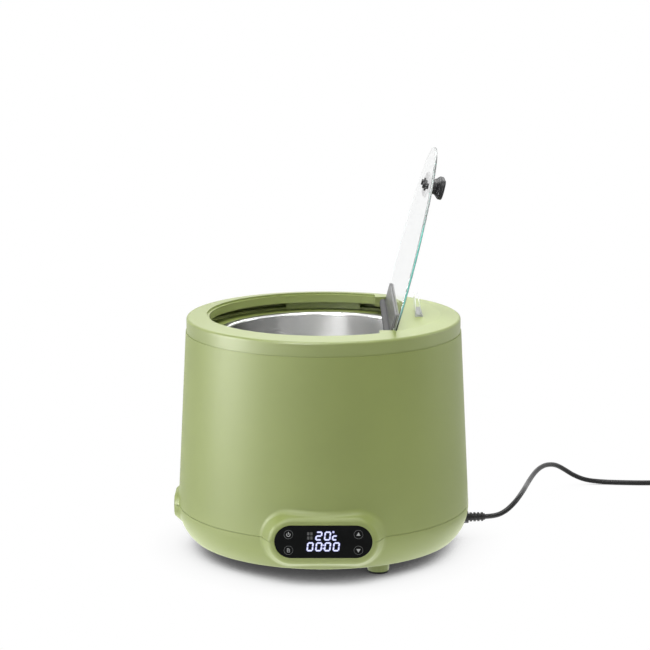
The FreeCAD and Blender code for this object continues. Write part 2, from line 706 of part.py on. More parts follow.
def heating_well():
    """The pressed well that hangs from the ledge, with a stud under its middle."""
    well = new_body("heating_well")
    section = new_sketch(well, "XZ")
    inner, outer = S.well_hole_radius, S.well_hole_radius + S.well_thick
    bend_r, bend_z = inner - S.well_corner, WELL_FLOOR + S.well_corner
    flange_low = LEDGE_UNDER - S.well_thick
    corners = [
        (ZERO, WELL_UNDER - S.stud_length), (S.stud_radius, WELL_UNDER - S.stud_length),
        (S.stud_radius, WELL_UNDER), (bend_r, WELL_UNDER), (outer, bend_z), (outer, flange_low),
        (S.well_flange_radius, flange_low), (S.well_flange_radius, LEDGE_UNDER), (inner, LEDGE_UNDER),
        (inner, bend_z), (bend_r, WELL_FLOOR), (ZERO, WELL_FLOOR),
    ]
    outline(section, corners, {3: (bend_r, bend_z, 1), 9: (bend_r, bend_z, -1)})
    revolve(well, section)
    drill = new_sketch(well, "XY", flange_low)
    for k in range(4):
        circle(drill, *around(S.well_screw_circle, 90 * k), S.well_screw_radius + S.screw_gap)
    pocket(well, drill, S.well_thick)
    keep("heating_well", well)


def well_screws():
    seat = LEDGE_UNDER - S.well_thick
    length = S.well_thick + S.wall - S.well_screw_skin - S.screw_gap
    made = []
    for k in range(4):
        x, y = around(S.well_screw_circle, 90 * k)
        head = (S.well_screw_head, S.well_screw_head_tall)
        made.append(screw(S.well_screw_radius, length, *head, x, y, seat))
    keep("well_screws", group(*made))


def heater():
    """The heater plate with its ring element, clamped under the well on the stud."""
    plate_low = WELL_UNDER - S.plate_thick
    plate = new_body("heater_plate")
    section = new_sketch(plate, "XZ")
    half = S.element_radius + S.groove_gap
    groove_top = plate_low + S.groove_depth
    bore = S.stud_radius + S.stud_hole_gap
    corners = [
        (bore, plate_low), (S.element_circle - half, plate_low), (S.element_circle - half, groove_top),
        (S.element_circle + half, groove_top), (S.element_circle + half, plate_low),
        (S.plate_radius, plate_low), (S.plate_radius, WELL_UNDER), (bore, WELL_UNDER),
    ]
    outline(section, corners)
    revolve(plate, section)
    drill = new_sketch(plate, "XY", plate_low)
    for angle in SENSOR_ANGLES:
        circle(drill, *around(S.clip_screw_circle, angle), S.clip_screw_radius + S.screw_gap)
    pocket(plate, drill, S.clip_screw_bite)
    keep("heater_plate", plate)

    element_z = groove_top - S.element_radius
    ring = doc.addObject("Part::Torus", "element")
    bind(ring, "Radius1", S.element_circle)
    bind(ring, "Radius2", S.element_radius)
    bind(ring, "Angle3", S.element_sweep_angle)
    keep("heating_element", place(ring, z=element_z))

    clamp_top = element_z - S.element_radius
    clamp_low = clamp_top - S.clamp_thick
    keep("element_clamp", washer(S.clamp_radius, bore, S.clamp_thick, clamp_low))
    first_low = clamp_low - S.nut_tall
    shield_low = first_low - S.shield_thick
    keep("clamp_nut_1", nut(first_low))
    keep("heat_shield", washer(S.shield_radius, bore, S.shield_thick, shield_low))
    keep("clamp_nut_2", nut(shield_low - S.nut_tall))

    radii = {"thermal_cutout": S.cutout_radius, "temperature_probe": S.probe_radius}
    for number, (label, radius) in enumerate(radii.items(), start=1):
        angle = SENSOR_ANGLES[number - 1]
        x, y = around(S.sensor_circle, angle)
        keep(label, cylinder(radius, S.plate_thick, x, y, plate_low))
        long = S.clip_end - S.clip_start
        strip = box(long, S.clip_width, S.clip_thick, S.clip_start + long / 2, 0, plate_low - S.clip_thick)
        hole = cylinder(S.clip_screw_radius + S.screw_gap, S.clip_thick, S.clip_screw_circle, 0,
                        plate_low - S.clip_thick)
        keep(f"sensor_clip_{number}", place(cut(strip, hole), turn=Rotation(UP, angle)))
        x, y = around(S.clip_screw_circle, angle)
        length = S.clip_thick + S.clip_screw_bite - S.screw_gap
        head = (S.clip_screw_head, S.clip_screw_head_tall)
        made = screw(S.clip_screw_radius, length, *head, x, y, plate_low - S.clip_thick)
        keep(f"clip_screw_{number}", made)


def washer(radius, bore, thick, low):
    return cut(cylinder(radius, thick, z=low), cylinder(bore, thick, z=low))


def nut(low):
    prism = doc.addObject("Part::Prism", "nut")
    prism.Polygon = 6
    bind(prism, "Circumradius", S.nut_across / root(as_dim(3)))
    bind(prism, "Height", S.nut_tall)
    place(prism, z=low)
    return cut(prism, cylinder(S.stud_radius + S.screw_gap, S.nut_tall, z=low))


def inner_pot():
    """The deep insert pot, which hangs by its flange on the ledge."""
    pot = new_body("inner_pot")
    section = new_sketch(pot, "XZ")
    outer, inner = S.pot_radius, S.pot_radius - S.pot_sheet
    low_r, low_z = S.pot_radius - S.pot_corner, POT_BOTTOM + S.pot_corner
    lip_r, lip_z = S.pot_radius + S.pot_lip_round, LEDGE - S.pot_lip_round
    top = LEDGE + S.pot_sheet
    corners = [
        (ZERO, POT_BOTTOM), (low_r, POT_BOTTOM), (outer, low_z), (outer, lip_z), (lip_r, LEDGE),
        (S.pot_flange_radius, LEDGE), (S.pot_flange_radius, top), (lip_r, top), (inner, lip_z),
        (inner, low_z), (low_r, POT_BOTTOM + S.pot_sheet), (ZERO, POT_BOTTOM + S.pot_sheet),
    ]
    arcs = {
        1: (low_r, low_z, 1), 3: (lip_r, lip_z, -1), 7: (lip_r, lip_z, 1), 9: (low_r, low_z, -1),
    }
    outline(section, corners, arcs)
    revolve(pot, section)
    keep("inner_pot", pot)


def bay_outline(sketch, radius, start, half, end):
    """A round opening that stops at start, with a narrower bay on to end."""
    reach = side(radius, start)
    corners = [(start, reach), (start, -reach), (start, -half), (end, -half), (end, half), (start, half)]
    outline(sketch, corners, {0: (ZERO, ZERO, 1)})


def top_ring():
    """The lift-off ring: skirt, sloping deck, lip round the mouth, hinge bay and locating tabs."""
    ring = new_body("top_ring")
    section = new_sketch(ring, "XZ")
    inner = S.ring_radius - S.ring_plate
    run = S.ring_radius - S.rebate_radius
    under_edge = RING_EDGE - S.ring_plate + S.ring_crown * S.ring_plate / run
    corners = [
        (inner, RIM), (S.ring_radius, RIM), (S.ring_radius, RING_EDGE), (S.rebate_radius, RING_TOP),
        (ZERO, RING_TOP), (ZERO, RING_TOP - S.ring_plate), (S.rebate_radius, RING_TOP - S.ring_plate),
        (inner, under_edge),
    ]
    outline(section, corners)
    feature = revolve(ring, section)
    dress(ring, feature, on_ring_edge, S.ring_edge_round)

    lip = new_sketch(ring, "XY", LIP_BOTTOM)
    thick = S.lip_thick
    half = S.hinge_bay_half + S.lug_length
    bay_outline(lip, S.lip_radius + thick, S.hinge_bay_start + thick, half, S.deck_edge + thick)
    pad(ring, lip, RING_TOP - S.ring_plate / 2 - LIP_BOTTOM)

    tabs = new_sketch(ring, "XY", LEDGE + S.tab_float)
    outer = S.step_radius - S.tab_gap
    for sign in (1, -1):
        corners = [
            (S.tab_right, sign * side(outer, S.tab_right)), (S.tab_left, sign * side(outer, S.tab_left)),
            (S.tab_left, sign * side(S.tab_inner_radius, S.tab_left)),
            (S.tab_right, sign * side(S.tab_inner_radius, S.tab_right)),
        ]
        outline(tabs, corners, {0: (ZERO, ZERO, sign), 2: (ZERO, ZERO, -sign)})
    pad(ring, tabs, RING_EDGE - LEDGE - S.tab_float)

    mouth = new_sketch(ring, "XY", LIP_BOTTOM)
    bay_outline(mouth, S.lip_radius, S.hinge_bay_start, S.hinge_bay_half, S.deck_edge)
    pocket(ring, mouth, RING_TOP - LIP_BOTTOM)

    rebate = new_sketch(ring, "XY", REBATE_FLOOR)
    reach = side(S.rebate_radius, S.hinge_bay_start)
    outline(rebate, [(S.hinge_bay_start, reach), (S.hinge_bay_start, -reach)], {0: (ZERO, ZERO, 1)})
    pocket(ring, rebate, S.rebate_depth)

    bores = new_sketch(ring, "XZ")
    circle(bores, S.hinge_x, HINGE_Z, S.rod_radius)
    pocket(ring, bores, 2 * (S.hinge_bay_half + S.rod_seat), middle=True)

    pegs = new_sketch(ring, "XY", RING_TOP - S.ring_plate)
    for sign in (1, -1):
        circle(pegs, S.card_x, sign * S.card_peg_pitch / 2, S.card_peg_radius)
    pocket(ring, pegs, S.ring_plate)
    keep("top_ring", ring)


def on_ring_edge(edge):
    at = middle_of(edge)
    return abs(at.z - RING_EDGE.value) < 1e-4 and abs(math.hypot(at.x, at.y) - S.ring_radius.value) < 1e-4


def hinge_rod():
    half = S.hinge_bay_half + S.rod_seat
    rod = cylinder(S.rod_radius, 2 * half, S.hinge_x, half, HINGE_Z, Rotation(Vector(1, 0, 0), 90))
    keep("hinge_rod", rod)


def card_holder():
    """Two clear plates that lean together and hold a card, on two pegs."""
    holder = new_body("card_holder")
    section = new_sketch(holder, "XZ")
    low, slot = S.card_base / 2, S.card_slot_low / 2
    top_out, top_in = S.card_top / 2, S.card_top / 2 - S.card_plate
    floor_z, high = RING_TOP + S.card_floor, RING_TOP + S.card_tall
    corners = [
        (-low, RING_TOP), (low, RING_TOP), (top_out, high), (top_in, high), (slot, floor_z),
        (-slot, floor_z), (-top_in, high), (-top_out, high),
    ]
    lean = S.card_lean / S.card_tall
    outline(section, [(S.card_x + x - lean * (z - RING_TOP), z) for x, z in corners])
    pad(holder, section, S.card_length, middle=True)
    pegs = new_sketch(holder, "XY", RING_TOP - S.ring_plate)
    for sign in (1, -1):
        circle(pegs, S.card_x, sign * S.card_peg_pitch / 2, S.card_peg_radius)
    pad(holder, pegs, S.ring_plate + S.card_floor / 2)
    keep("card_holder", holder)


# The lid, drawn closed about the hinge axis

GLASS_LOW = REBATE_FLOOR + S.glass_seat_gap - HINGE_Z
GLASS_HIGH = GLASS_LOW + S.glass_thick
HANDLE_X = S.handle_from_edge - S.glass_radius - S.hinge_x


def open_lid(label, thing):
    """Turns a lid piece about the hinge axis to the open rest position."""
    place(thing, S.hinge_x, 0, HINGE_Z, Rotation(ALONG_Y, S.open_angle.value))
    bind(thing, "Placement.Rotation.Angle", S.open_angle)
    keep(label, thing)


def handle_screw_places():
    return [(HANDLE_X, sign * S.handle_screw_pitch / 2) for sign in (1, -1)]


def lid_glass():
    glass = new_body("lid_glass")
    plan = new_sketch(glass, "XY", GLASS_LOW)
    start = S.glass_notch_start - S.hinge_x
    reach = side(S.glass_radius, S.glass_notch_start)
    end, half = S.glass_edge - S.hinge_x, S.glass_notch_half
    corners = [(start, reach), (start, -reach), (start, -half), (end, -half), (end, half), (start, half)]
    outline(plan, corners, {0: (-S.hinge_x, ZERO, 1)})
    feature = pad(glass, plan, S.glass_thick)
    dress(glass, feature, on_glass_rim, S.glass_bevel, "PartDesign::Chamfer", "Size")
    holes = new_sketch(glass, "XY", GLASS_LOW)
    for x, y in handle_screw_places():
        circle(holes, x, y, S.glass_hole_radius)
    pocket(glass, holes, S.glass_thick)
    open_lid("lid_glass", glass)


def on_glass_rim(edge):
    at = middle_of(edge)
    flat = edge.BoundBox.ZLength < 1e-6
    return flat and at.x < S.glass_notch_start.value - S.hinge_x.value - 1e-3


def hinge_leaf():
    leaf = new_body("hinge_leaf")
    top = GLASS_LOW - S.leaf_pad_thick
    section = new_sketch(leaf, "XZ")
    rectangle(section, -S.leaf_reach, ZERO, top - S.leaf_thick, top)
    pad(leaf, section, 2 * S.leaf_half, middle=True)
    barrel = new_sketch(leaf, "XZ")
    circle(barrel, 0, 0, S.barrel_radius)
    pad(leaf, barrel, 2 * S.leaf_half, middle=True)
    bore = new_sketch(leaf, "XZ")
    circle(bore, 0, 0, S.rod_radius + S.hinge_gap)
    pocket(leaf, bore, 4 * S.leaf_half, middle=True)
    open_lid("hinge_leaf", leaf)


def leaf_pad():
    bonded = new_body("leaf_pad")
    section = new_sketch(bonded, "XZ")
    rectangle(section, -S.leaf_reach, -S.leaf_pad_start, GLASS_LOW - S.leaf_pad_thick, GLASS_LOW)
    pad(bonded, section, 2 * S.leaf_half, middle=True)
    open_lid("leaf_pad", bonded)


def glass_edge_guard():
    guard = new_body("glass_edge_guard")
    section = new_sketch(guard, "XZ")
    start = S.glass_edge - S.hinge_x
    rectangle(section, start, start + S.guard_thick, GLASS_LOW + S.guard_inset, GLASS_HIGH - S.guard_inset)
    pad(guard, section, 2 * (S.glass_notch_half - S.guard_inset), middle=True)
    open_lid("glass_edge_guard", guard)


def lid_handle():
    """A low grip with a narrow neck and a flared cap, on a gasket."""
    low = GLASS_HIGH + S.gasket_thick
    inset = S.handle_width - S.handle_neck_width
    neck_low = low + S.handle_flange
    flare_low = neck_low + S.handle_neck
    cap_low = flare_low + S.handle_flare
    cap_more = S.handle_cap_width - S.handle_neck_width
    neck_length = S.handle_length - inset
    grip = new_body("lid_handle")
    steps = [
        (low, S.handle_length, S.handle_width, S.handle_flange),
        (neck_low, neck_length, S.handle_neck_width, S.handle_neck + S.handle_flare),
        (cap_low, neck_length + cap_more, S.handle_cap_width, S.handle_cap),
    ]
    for height, length, width, tall in steps:
        plan = new_sketch(grip, "XY", height)
        stadium(plan, HANDLE_X, 0, length, width, upright=True)
        feature = pad(grip, plan, tall)
        if height is low:
            feature = dress(grip, feature, on_level(neck_low), S.handle_flange_round)
    top = cap_low + S.handle_cap
    feature = dress(grip, feature, on_level(top), S.handle_round)
    flare = new_sketch(grip, "XY", flare_low)
    stadium(flare, HANDLE_X, 0, neck_length, S.handle_neck_width, upright=True)
    pad(grip, flare, S.handle_flare, taper=arc_tangent(cap_more / 2, S.handle_flare))
    holes = new_sketch(grip, "XY", low)
    for x, y in handle_screw_places():
        circle(holes, x, y, S.handle_screw_radius + S.screw_gap)
    pocket(grip, holes, S.handle_screw_bite + S.handle_screw_radius)
    open_lid("lid_handle", grip)

    gasket = new_body("handle_gasket")
    plan = new_sketch(gasket, "XY", GLASS_HIGH)
    less = 2 * S.gasket_inset
    stadium(plan, HANDLE_X, 0, S.handle_length - less, S.handle_width - less, upright=True)
    for x, y in handle_screw_places():
        circle(plan, x, y, S.handle_screw_radius + S.head_gap)
    pad(gasket, plan, S.gasket_thick)
    open_lid("handle_gasket", gasket)

    seat = GLASS_LOW - S.washer_thick
    length = S.washer_thick + S.glass_thick + S.gasket_thick + S.handle_screw_bite
    for number, (x, y) in enumerate(handle_screw_places(), start=1):
        disc = cylinder(S.washer_radius, S.washer_thick, x, y, seat)
        hole = cylinder(S.handle_screw_radius + S.screw_gap, S.washer_thick, x, y, seat)
        open_lid(f"screw_washer_{number}", cut(disc, hole))
        head = (S.handle_head_radius, S.handle_head_tall)
        open_lid(f"handle_screw_{number}", screw(S.handle_screw_radius, length, *head, x, y, seat))


def on_level(height):
    """Picks the level edges at a height."""
    return lambda edge: edge.BoundBox.ZLength < 1e-6 and abs(edge.BoundBox.ZMin - height.value) < 1e-6


def arc_tangent(rise, run):
    value = math.degrees(math.atan2(rise.value, run.value))
    return Dim(value, f"atan({rise.text} / {run.text})")


# The display behind its window, from the front to the back

PANEL_BACK = S.pad_face - S.wall
CARRIER_BACK = PANEL_BACK - S.carrier_thick
BOARD_BACK = CARRIER_BACK - S.board_thick


def front_plate(label, face, thick, width, tall, opening=None, holes=()):
    """A bar with round ends that faces the front, with an opening like it and round holes."""
    plate = new_body(label)
    plan = new_sketch(plate, "XZ", face)
    stadium(plan, 0, S.pad_middle, width, tall)
    if opening:
        stadium(plan, 0, S.pad_middle, *opening)
    pad(plate, plan, thick, back=True)
    if holes:
        drill = new_sketch(plate, "XZ", face)
        for x, z in holes:
            circle(drill, x, z, S.display_screw_radius + S.screw_gap)
        pocket(plate, drill, thick, back=True)
    keep(label, plate)


def display():
    sunk_face, thick = S.pad_face - S.panel_sink, S.wall - S.panel_sink
    front_plate("display_panel", sunk_face, thick, S.panel_width, S.panel_tall)
    width, tall = S.panel_width + 2 * S.carrier_lap, S.panel_tall + 2 * S.carrier_lap
    opening = (width - 2 * S.carrier_rim, tall - 2 * S.carrier_rim)
    up = tall / 2 - S.carrier_rim / 2
    holes = [(i * S.display_screw_x, S.pad_middle + j * up) for i in (-1, 1) for j in (-1, 1)]
    front_plate("display_carrier", PANEL_BACK, S.carrier_thick, width, tall, opening, holes)
    less = 2 * S.board_inset
    front_plate("display_board", CARRIER_BACK, S.board_thick, width - less, tall - less, None, holes)

    deep = S.carrier_thick - S.led_gap
    led = box(S.led_width, deep, S.led_tall, 0, deep / 2 - CARRIER_BACK - deep, S.pad_middle - S.led_tall / 2)
    keep("led_module", led)
    forward = Rotation(Vector(1, 0, 0), 90)
    posts = []
    for sign in (-1, 1):
        for z in (S.pad_middle + S.key_high, S.pad_middle - S.key_low):
            x = sign * S.key_x
            posts.append(cylinder(S.key_post_radius, S.carrier_thick, x, -CARRIER_BACK, z, forward))
    keep("touch_key_posts", group(*posts))
    screws = []
    length = S.board_thick + S.carrier_thick - S.screw_gap
    for x, z in holes:
        shank = cylinder(S.display_screw_radius, length, x, -BOARD_BACK, z, forward)
        head_tall = S.display_screw_head_tall
        head = cylinder(S.display_screw_head, head_tall, x, head_tall - BOARD_BACK, z, forward)
        screws.append(fuse(shank, head))
    keep("display_screws", group(*screws))


# The power board on its standoffs

BOARD_LOW = FLOOR_INSIDE + S.power_rise
BOARD_TOP = BOARD_LOW + S.board_thick


def power_board():
    board = box(S.power_long, S.power_wide, S.board_thick, S.power_x, S.power_y, BOARD_LOW)
    holes = []
    screws = []
    for x, y in standoff_places():
        holes.append(cylinder(S.power_screw_radius + S.screw_gap, S.board_thick, x, y, BOARD_LOW))
        head = (S.power_screw_head, S.power_screw_head_tall)
        length = S.board_thick + S.power_screw_bite
        screws.append(screw(S.power_screw_radius, length, *head, x, y, BOARD_TOP, up=False))
    keep("power_board", cut(board, fuse(*holes)))
    keep("power_board_screws", group(*screws))
    right = S.power_x + S.power_long / 2
    block_x = right - S.terminal_long / 2
    block = (S.terminal_long, S.terminal_wide, S.terminal_tall)
    keep("terminal_block", box(*block, block_x, S.power_y, BOARD_TOP))
    back = S.power_y + S.power_wide / 2
    relay_y = back - S.relay_wide / 2 - S.part_inset
    relay = (S.relay_long, S.relay_wide, S.relay_tall)
    keep("power_relay", box(*relay, S.power_x + S.relay_shift, relay_y, BOARD_TOP))
    left = S.power_x - S.power_long / 2 + S.transformer_long / 2 + S.transformer_inset
    core = (S.transformer_long, S.transformer_wide, S.transformer_tall)
    keep("power_transformer", box(*core, left, S.power_y, BOARD_TOP))
    case = (S.capacitor_long, S.capacitor_wide, S.capacitor_tall)
    keep("filter_capacitor", box(*case, S.power_x, S.power_y, BOARD_TOP))


# The mains lead: straight runs joined by tangent arcs, and a coil on arcs of about a quarter turn


def cord_strain_relief():
    """A block through the casing wall and a ribbed sleeve that tapers round the lead."""
    relief = new_body("cord_strain_relief")
    section = new_sketch(relief, "XZ")
    sleeve = S.relief_end_radius - S.relief_block_radius
    count = int(S.relief_ribs.value)
    inner, block = S.relief_inner_radius, S.relief_block_radius
    corners = [(ZERO, inner), (S.relief_radius, inner), (S.relief_radius, block)]
    pitch = sleeve / (count + 0.5)
    for k in range(count + 1):
        neck = S.relief_neck_start - (S.relief_neck_start - S.relief_neck_end) * k / count
        start = block + pitch * k
        corners.append((neck, start))
        corners.append((neck, start + pitch / 2))
        if k < count:
            corners.append((neck + S.relief_rib, start + pitch / 2))
            corners.append((neck + S.relief_rib, start + pitch))
    corners.append((ZERO, S.relief_end_radius))
    outline(section, corners)
    revolve(relief, section)
    keep("cord_strain_relief", place(relief, z=S.exit_height, turn=outward()))


def unit(vector):
    return vector / vector.Length


def rounded_path(points):
    """Straight runs joined by tangent arcs, each as large as its two runs allow. Prints the radii."""
    edges = []
    here = points[0]
    radii = []
    for before, corner, after in zip(points, points[1:], points[2:]):
        back, ahead = unit(before - corner), unit(after - corner)
        reach = 0.45 * min((before - corner).Length, (after - corner).Length)
        half_turn = (math.pi - back.getAngle(ahead)) / 2
        radius = reach / math.tan(half_turn)
        radii.append(radius)
        start, stop = corner + back * reach, corner + ahead * reach
        inward = unit(back + ahead)
        middle = corner + inward * (math.hypot(radius, reach) - radius)
        edges.append(Part.LineSegment(here, start).toShape())
        edges.append(Part.Arc(start, middle, stop).toShape())
        here = stop
    edges.append(Part.LineSegment(here, points[-1]).toShape())
    print("bend radii in diameters:", [round(r / S.cord_diameter.value, 1) for r in radii])
    return Part.Wire(edges)


def tangent_arc(start, apex, stop):
    """The arc from start to stop whose end tangents meet at apex."""
    chord = (start + stop) / 2
    lean = (chord - start).Length / (apex - start).Length
    return Part.Arc(start, chord + (apex - chord) * (lean / (1 + lean)), stop).toShape()


def biarc(start, start_way, stop, stop_way):
    """Two tangent arcs from one point and direction to another."""
    span = stop - start
    if start_way.cross(span).Length < 1e-6 and stop_way.cross(span).Length < 1e-6:
        return [Part.LineSegment(start, stop).toShape()]
    both = start_way + stop_way
    spread = 2 * (1 - start_way.dot(stop_way))
    if spread < 1e-9:
        reach = span.dot(span) / (4 * span.dot(stop_way))
    else:
        reach = (math.sqrt(span.dot(both) ** 2 + spread * span.dot(span)) - span.dot(both)) / spread
    first, second = start + start_way * reach, stop - stop_way * reach
    joint = (first + second) / 2
    return [tangent_arc(start, first, joint), tangent_arc(joint, second, stop)]


def tube(label, path, diameter):
    """A solid round tube along a path, checked against its section times its length."""
    start = path.Edges[0]
    way = start.tangentAt(start.FirstParameter)
    ring = Part.Wire(Part.Circle(start.valueAt(start.FirstParameter), way, diameter / 2).toShape())
    solid = path.makePipeShell([ring], True, False)
    if solid.ShapeType != "Solid":
        solid = solid.Solids[0]
    if solid.Volume < 0:
        solid.reverse()
    wanted = math.pi * diameter**2 / 4 * path.Length
    print(f"{label}: length {path.Length:.1f}, volume {solid.Volume / wanted:.4f} of section times length")
    feature = doc.addObject("Part::Feature", label)
    feature.Shape = solid
    feature.Placement = Placement()
    keep(label, feature)


def route_points():
    """The lead from the sleeve's end to the coil: up over a bend, then along the floor."""
    start = Vector(*[d.value for d in around(S.relief_end_radius, S.exit_turn)], S.exit_height.value)
    way = Vector(*[d.value for d in around(as_dim(1), S.exit_turn)], 0)
    diameter = S.cord_diameter.value
    low = diameter / 2
    points = [start, start + way * S.lead_straight.value]
    for x, y, share in LEAD_RAISED + [(x, y, 0) for x, y in LEAD_LYING]:
        height = low + share * (start.z - low)
        points.append(Vector(start.x + x * diameter, start.y + y * diameter, height))
    return points


def coil_nodes(start, way):
    """Places and directions about a quarter turn apart: in on one layer, up, and out on the next."""
    radius, step = S.cord_diameter.value / 2, S.coil_step.value
    turns = int(S.coil_turns.value)
    inner = S.coil_inner_radius.value
    outer = inner + turns * step
    low = S.tie_thick.value + radius
    high = low + S.coil_layer_rise.value
    lead = start + way * 2 * radius
    right = Vector(way.y, -way.x, 0)
    centre = lead + right * outer
    first = math.atan2(lead.y - centre.y, lead.x - centre.x)

    def node(swept, reach, z, growth=0, climb=0):
        angle = first - swept
        out = Vector(math.cos(angle), math.sin(angle), 0)
        along = Vector(math.sin(angle), -math.cos(angle), 0)
        place_at = Vector(centre.x, centre.y, z) + out * reach
        return place_at, unit(along * reach + out * (growth / (2 * math.pi)) + UP * climb)

    quarter = math.pi / 2
    nodes = [(start, way), (lead, way)]
    for k in range(1, 4 * turns + 1):
        growth = -step if k < 4 * turns else 0
        nodes.append(node(k * quarter, outer - step * k / 4, low, growth))
    swept = turns * 2 * math.pi
    slope = 1.5 * (high - low) / math.pi
    nodes.append(node(swept + quarter, inner, (low + high) / 2, 0, slope))
    nodes.append(node(swept + 2 * quarter, inner, high))
    swept += math.pi
    # the outer layer ends where the lead points to the front
    last = (first - swept) % (2 * math.pi) + 2 * math.pi * (turns - 1)
    pieces = math.ceil(last / quarter)
    for k in range(1, pieces + 1):
        share = last * k / pieces
        growth = step if k < pieces else 0
        nodes.append(node(swept + share, inner + step * share / (2 * math.pi), high, growth))
    here, ahead = nodes[-1]
    ramp = here + ahead * S.coil_ramp.value + UP * (S.plug_axis_height.value - high)
    nodes.append((ramp, ahead))
    nodes.append((ramp + ahead * 2 * radius, ahead))
    return nodes, centre, low, high


def least_gap(path, diameter):
    """The least room between stretches of a tube that aren't neighbours, measured on points."""
    points = path.discretize(Distance=2.0)
    apart = int(3 * diameter / 2.0) + 1
    best = 1e9
    for i, a in enumerate(points):
        for b in points[i + apart:]:
            best = min(best, a.distanceToPoint(b))
    return best - diameter


def mains_lead():
    diameter = S.cord_diameter.value
    points = route_points()
    route = rounded_path(points)
    tube("power_cord", route, diameter)
    nodes, centre, low, high = coil_nodes(points[-1], unit(points[-1] - points[-2]))
    edges = []
    for (start, start_way), (stop, stop_way) in zip(nodes, nodes[1:]):
        edges += biarc(start, start_way, stop, stop_way)
    coil = Part.Wire(edges)
    tube("cord_coil", coil, diameter)
    whole = route.Length + coil.Length
    print(f"coil: least gap to itself {least_gap(coil, diameter):.2f}, lead in all {whole:.0f}")
    coil_tie(coil, centre, low, high)
    mains_plug(*nodes[-1])


def coil_tie(coil, centre, low, high):
    """A flat band round both layers on the side towards the front, resting on the floor."""
    radius = S.cord_diameter.value / 2
    reach = S.coil_inner_radius.value + 3 * S.coil_step.value
    under = [p for p in coil.discretize(Distance=0.5) if abs(p.x - centre.x) < S.tie_wide.value / 2]
    near = [p for p in under if centre.y - reach < p.y < centre.y]
    front = min(p.y for p in near) - radius - S.tie_gap.value
    back = max(p.y for p in near) + radius + S.tie_gap.value
    top = high + radius + S.tie_gap.value
    thick = S.tie_thick.value
    long = S.tie_wide.value
    left, bottom = centre.x - long / 2, low - radius
    deep, tall = back - front, top - bottom
    corner = Vector(left, front - thick, bottom - thick)
    outer = Part.makeBox(long, deep + 2 * thick, tall + 2 * thick, corner)
    inner = Part.makeBox(long, deep, tall, Vector(left, front, bottom))
    band = doc.addObject("Part::Feature", "band")
    band.Shape = outer.cut(inner)
    band.Placement = Placement()
    keep("coil_tie", band)


def mains_plug(at, way):
    """A straight round plug on the end of the lead, with two round pins."""
    plug = new_body("mains_plug")
    section = new_sketch(plug, "XZ")
    neck = S.plug_tail
    grip = neck + S.plug_taper
    face = grip + S.plug_body
    corners = [
        (ZERO, ZERO), (S.plug_tail_radius, ZERO), (S.plug_tail_radius, neck), (S.plug_grip_radius, grip),
        (S.plug_body_radius, grip), (S.plug_body_radius, face), (ZERO, face),
    ]
    outline(section, corners)
    feature = revolve(plug, section)
    dress(plug, feature, lambda e: abs(middle_of(e).z - face.value) < 1e-6, S.plug_round)
    seats = new_sketch(plug, "XY", face)
    for sign in (1, -1):
        circle(seats, 0, sign * S.pin_pitch / 2, S.pin_radius)
    pocket(plug, seats, S.pin_seat, back=True)
    turn = Rotation(UP, way)
    keep("mains_plug", place(plug, at.x, at.y, at.z, turn))
    for number, sign in enumerate((1, -1), start=1):
        pin = cylinder(S.pin_radius, S.pin_seat + S.pin_length, 0, sign * S.pin_pitch / 2, face - S.pin_seat)
        keep(f"plug_pin_{number}", place(group_of(pin), at.x, at.y, at.z, turn))


def inner_lead():
    """The lead inside the base, from the strain relief up to the terminal block."""
    angle = S.exit_turn
    x, y = around(S.relief_inner_radius, angle)
    start = Vector(x.value, y.value, S.exit_height.value)
    way = -Vector(*[d.value for d in around(as_dim(1), angle)], 0)
    stop_x = S.power_x + S.power_long / 2
    stop = Vector(stop_x.value, S.power_y.value, (BOARD_TOP + S.terminal_tall / 2).value)
    stop_way = Vector(-1, 0, 0)
    run = S.cord_diameter.value
    edges = biarc(start, way, start + way * run, way)
    edges += biarc(start + way * run, way, stop - stop_way * run, stop_way)
    edges += biarc(stop - stop_way * run, stop_way, stop, stop_way)
    tube("inner_lead", Part.Wire(edges), run)


# Build every piece

outer_body()
base_pan()
foot_pads()
base_screws()
heating_well()
well_screws()
heater()
inner_pot()
top_ring()
hinge_rod()
card_holder()
lid_glass()
hinge_leaf()
leaf_pad()
glass_edge_guard()
lid_handle()
display()
power_board()
cord_strain_relief()
inner_lead()
mains_lead()
doc.recompute()

# Check the document, then write one file for each piece

failed = [o.Name for o in doc.Objects if "Invalid" in o.State or "Error" in o.State]
if failed:
    raise RuntimeError(f"failed: {failed}")
for label, piece in PIECES.items():
    if piece.Shape.isNull() or not piece.Shape.isValid() or not piece.Shape.Solids:
        raise RuntimeError(f"{label}: no valid solid")

os.makedirs("parts", exist_ok=True)
for label, piece in PIECES.items():
    shape = piece.Shape
    print(f"{label}: {len(shape.Solids)} solid, {shape.Volume / 1000:.2f} cm3")
    shape.exportStep(f"parts/{label}.step")
print(len(PIECES), "pieces")
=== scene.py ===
"""Dresses the pot warmer: finishes, display marks, mains lead, floor, light and camera.

Metres. +Z is up, the floor is z = 0, the pot's axis is the Z axis and the display faces -Y.
"""
import json
import math

import bpy
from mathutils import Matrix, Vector


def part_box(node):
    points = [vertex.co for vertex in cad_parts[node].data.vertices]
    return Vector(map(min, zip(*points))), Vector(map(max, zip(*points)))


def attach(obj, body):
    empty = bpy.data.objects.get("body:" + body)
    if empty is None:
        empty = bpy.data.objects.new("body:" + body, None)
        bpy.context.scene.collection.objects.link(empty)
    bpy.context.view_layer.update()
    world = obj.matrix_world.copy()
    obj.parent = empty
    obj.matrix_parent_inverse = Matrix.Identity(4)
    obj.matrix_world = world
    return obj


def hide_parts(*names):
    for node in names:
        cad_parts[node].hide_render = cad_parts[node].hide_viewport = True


MM = 0.001

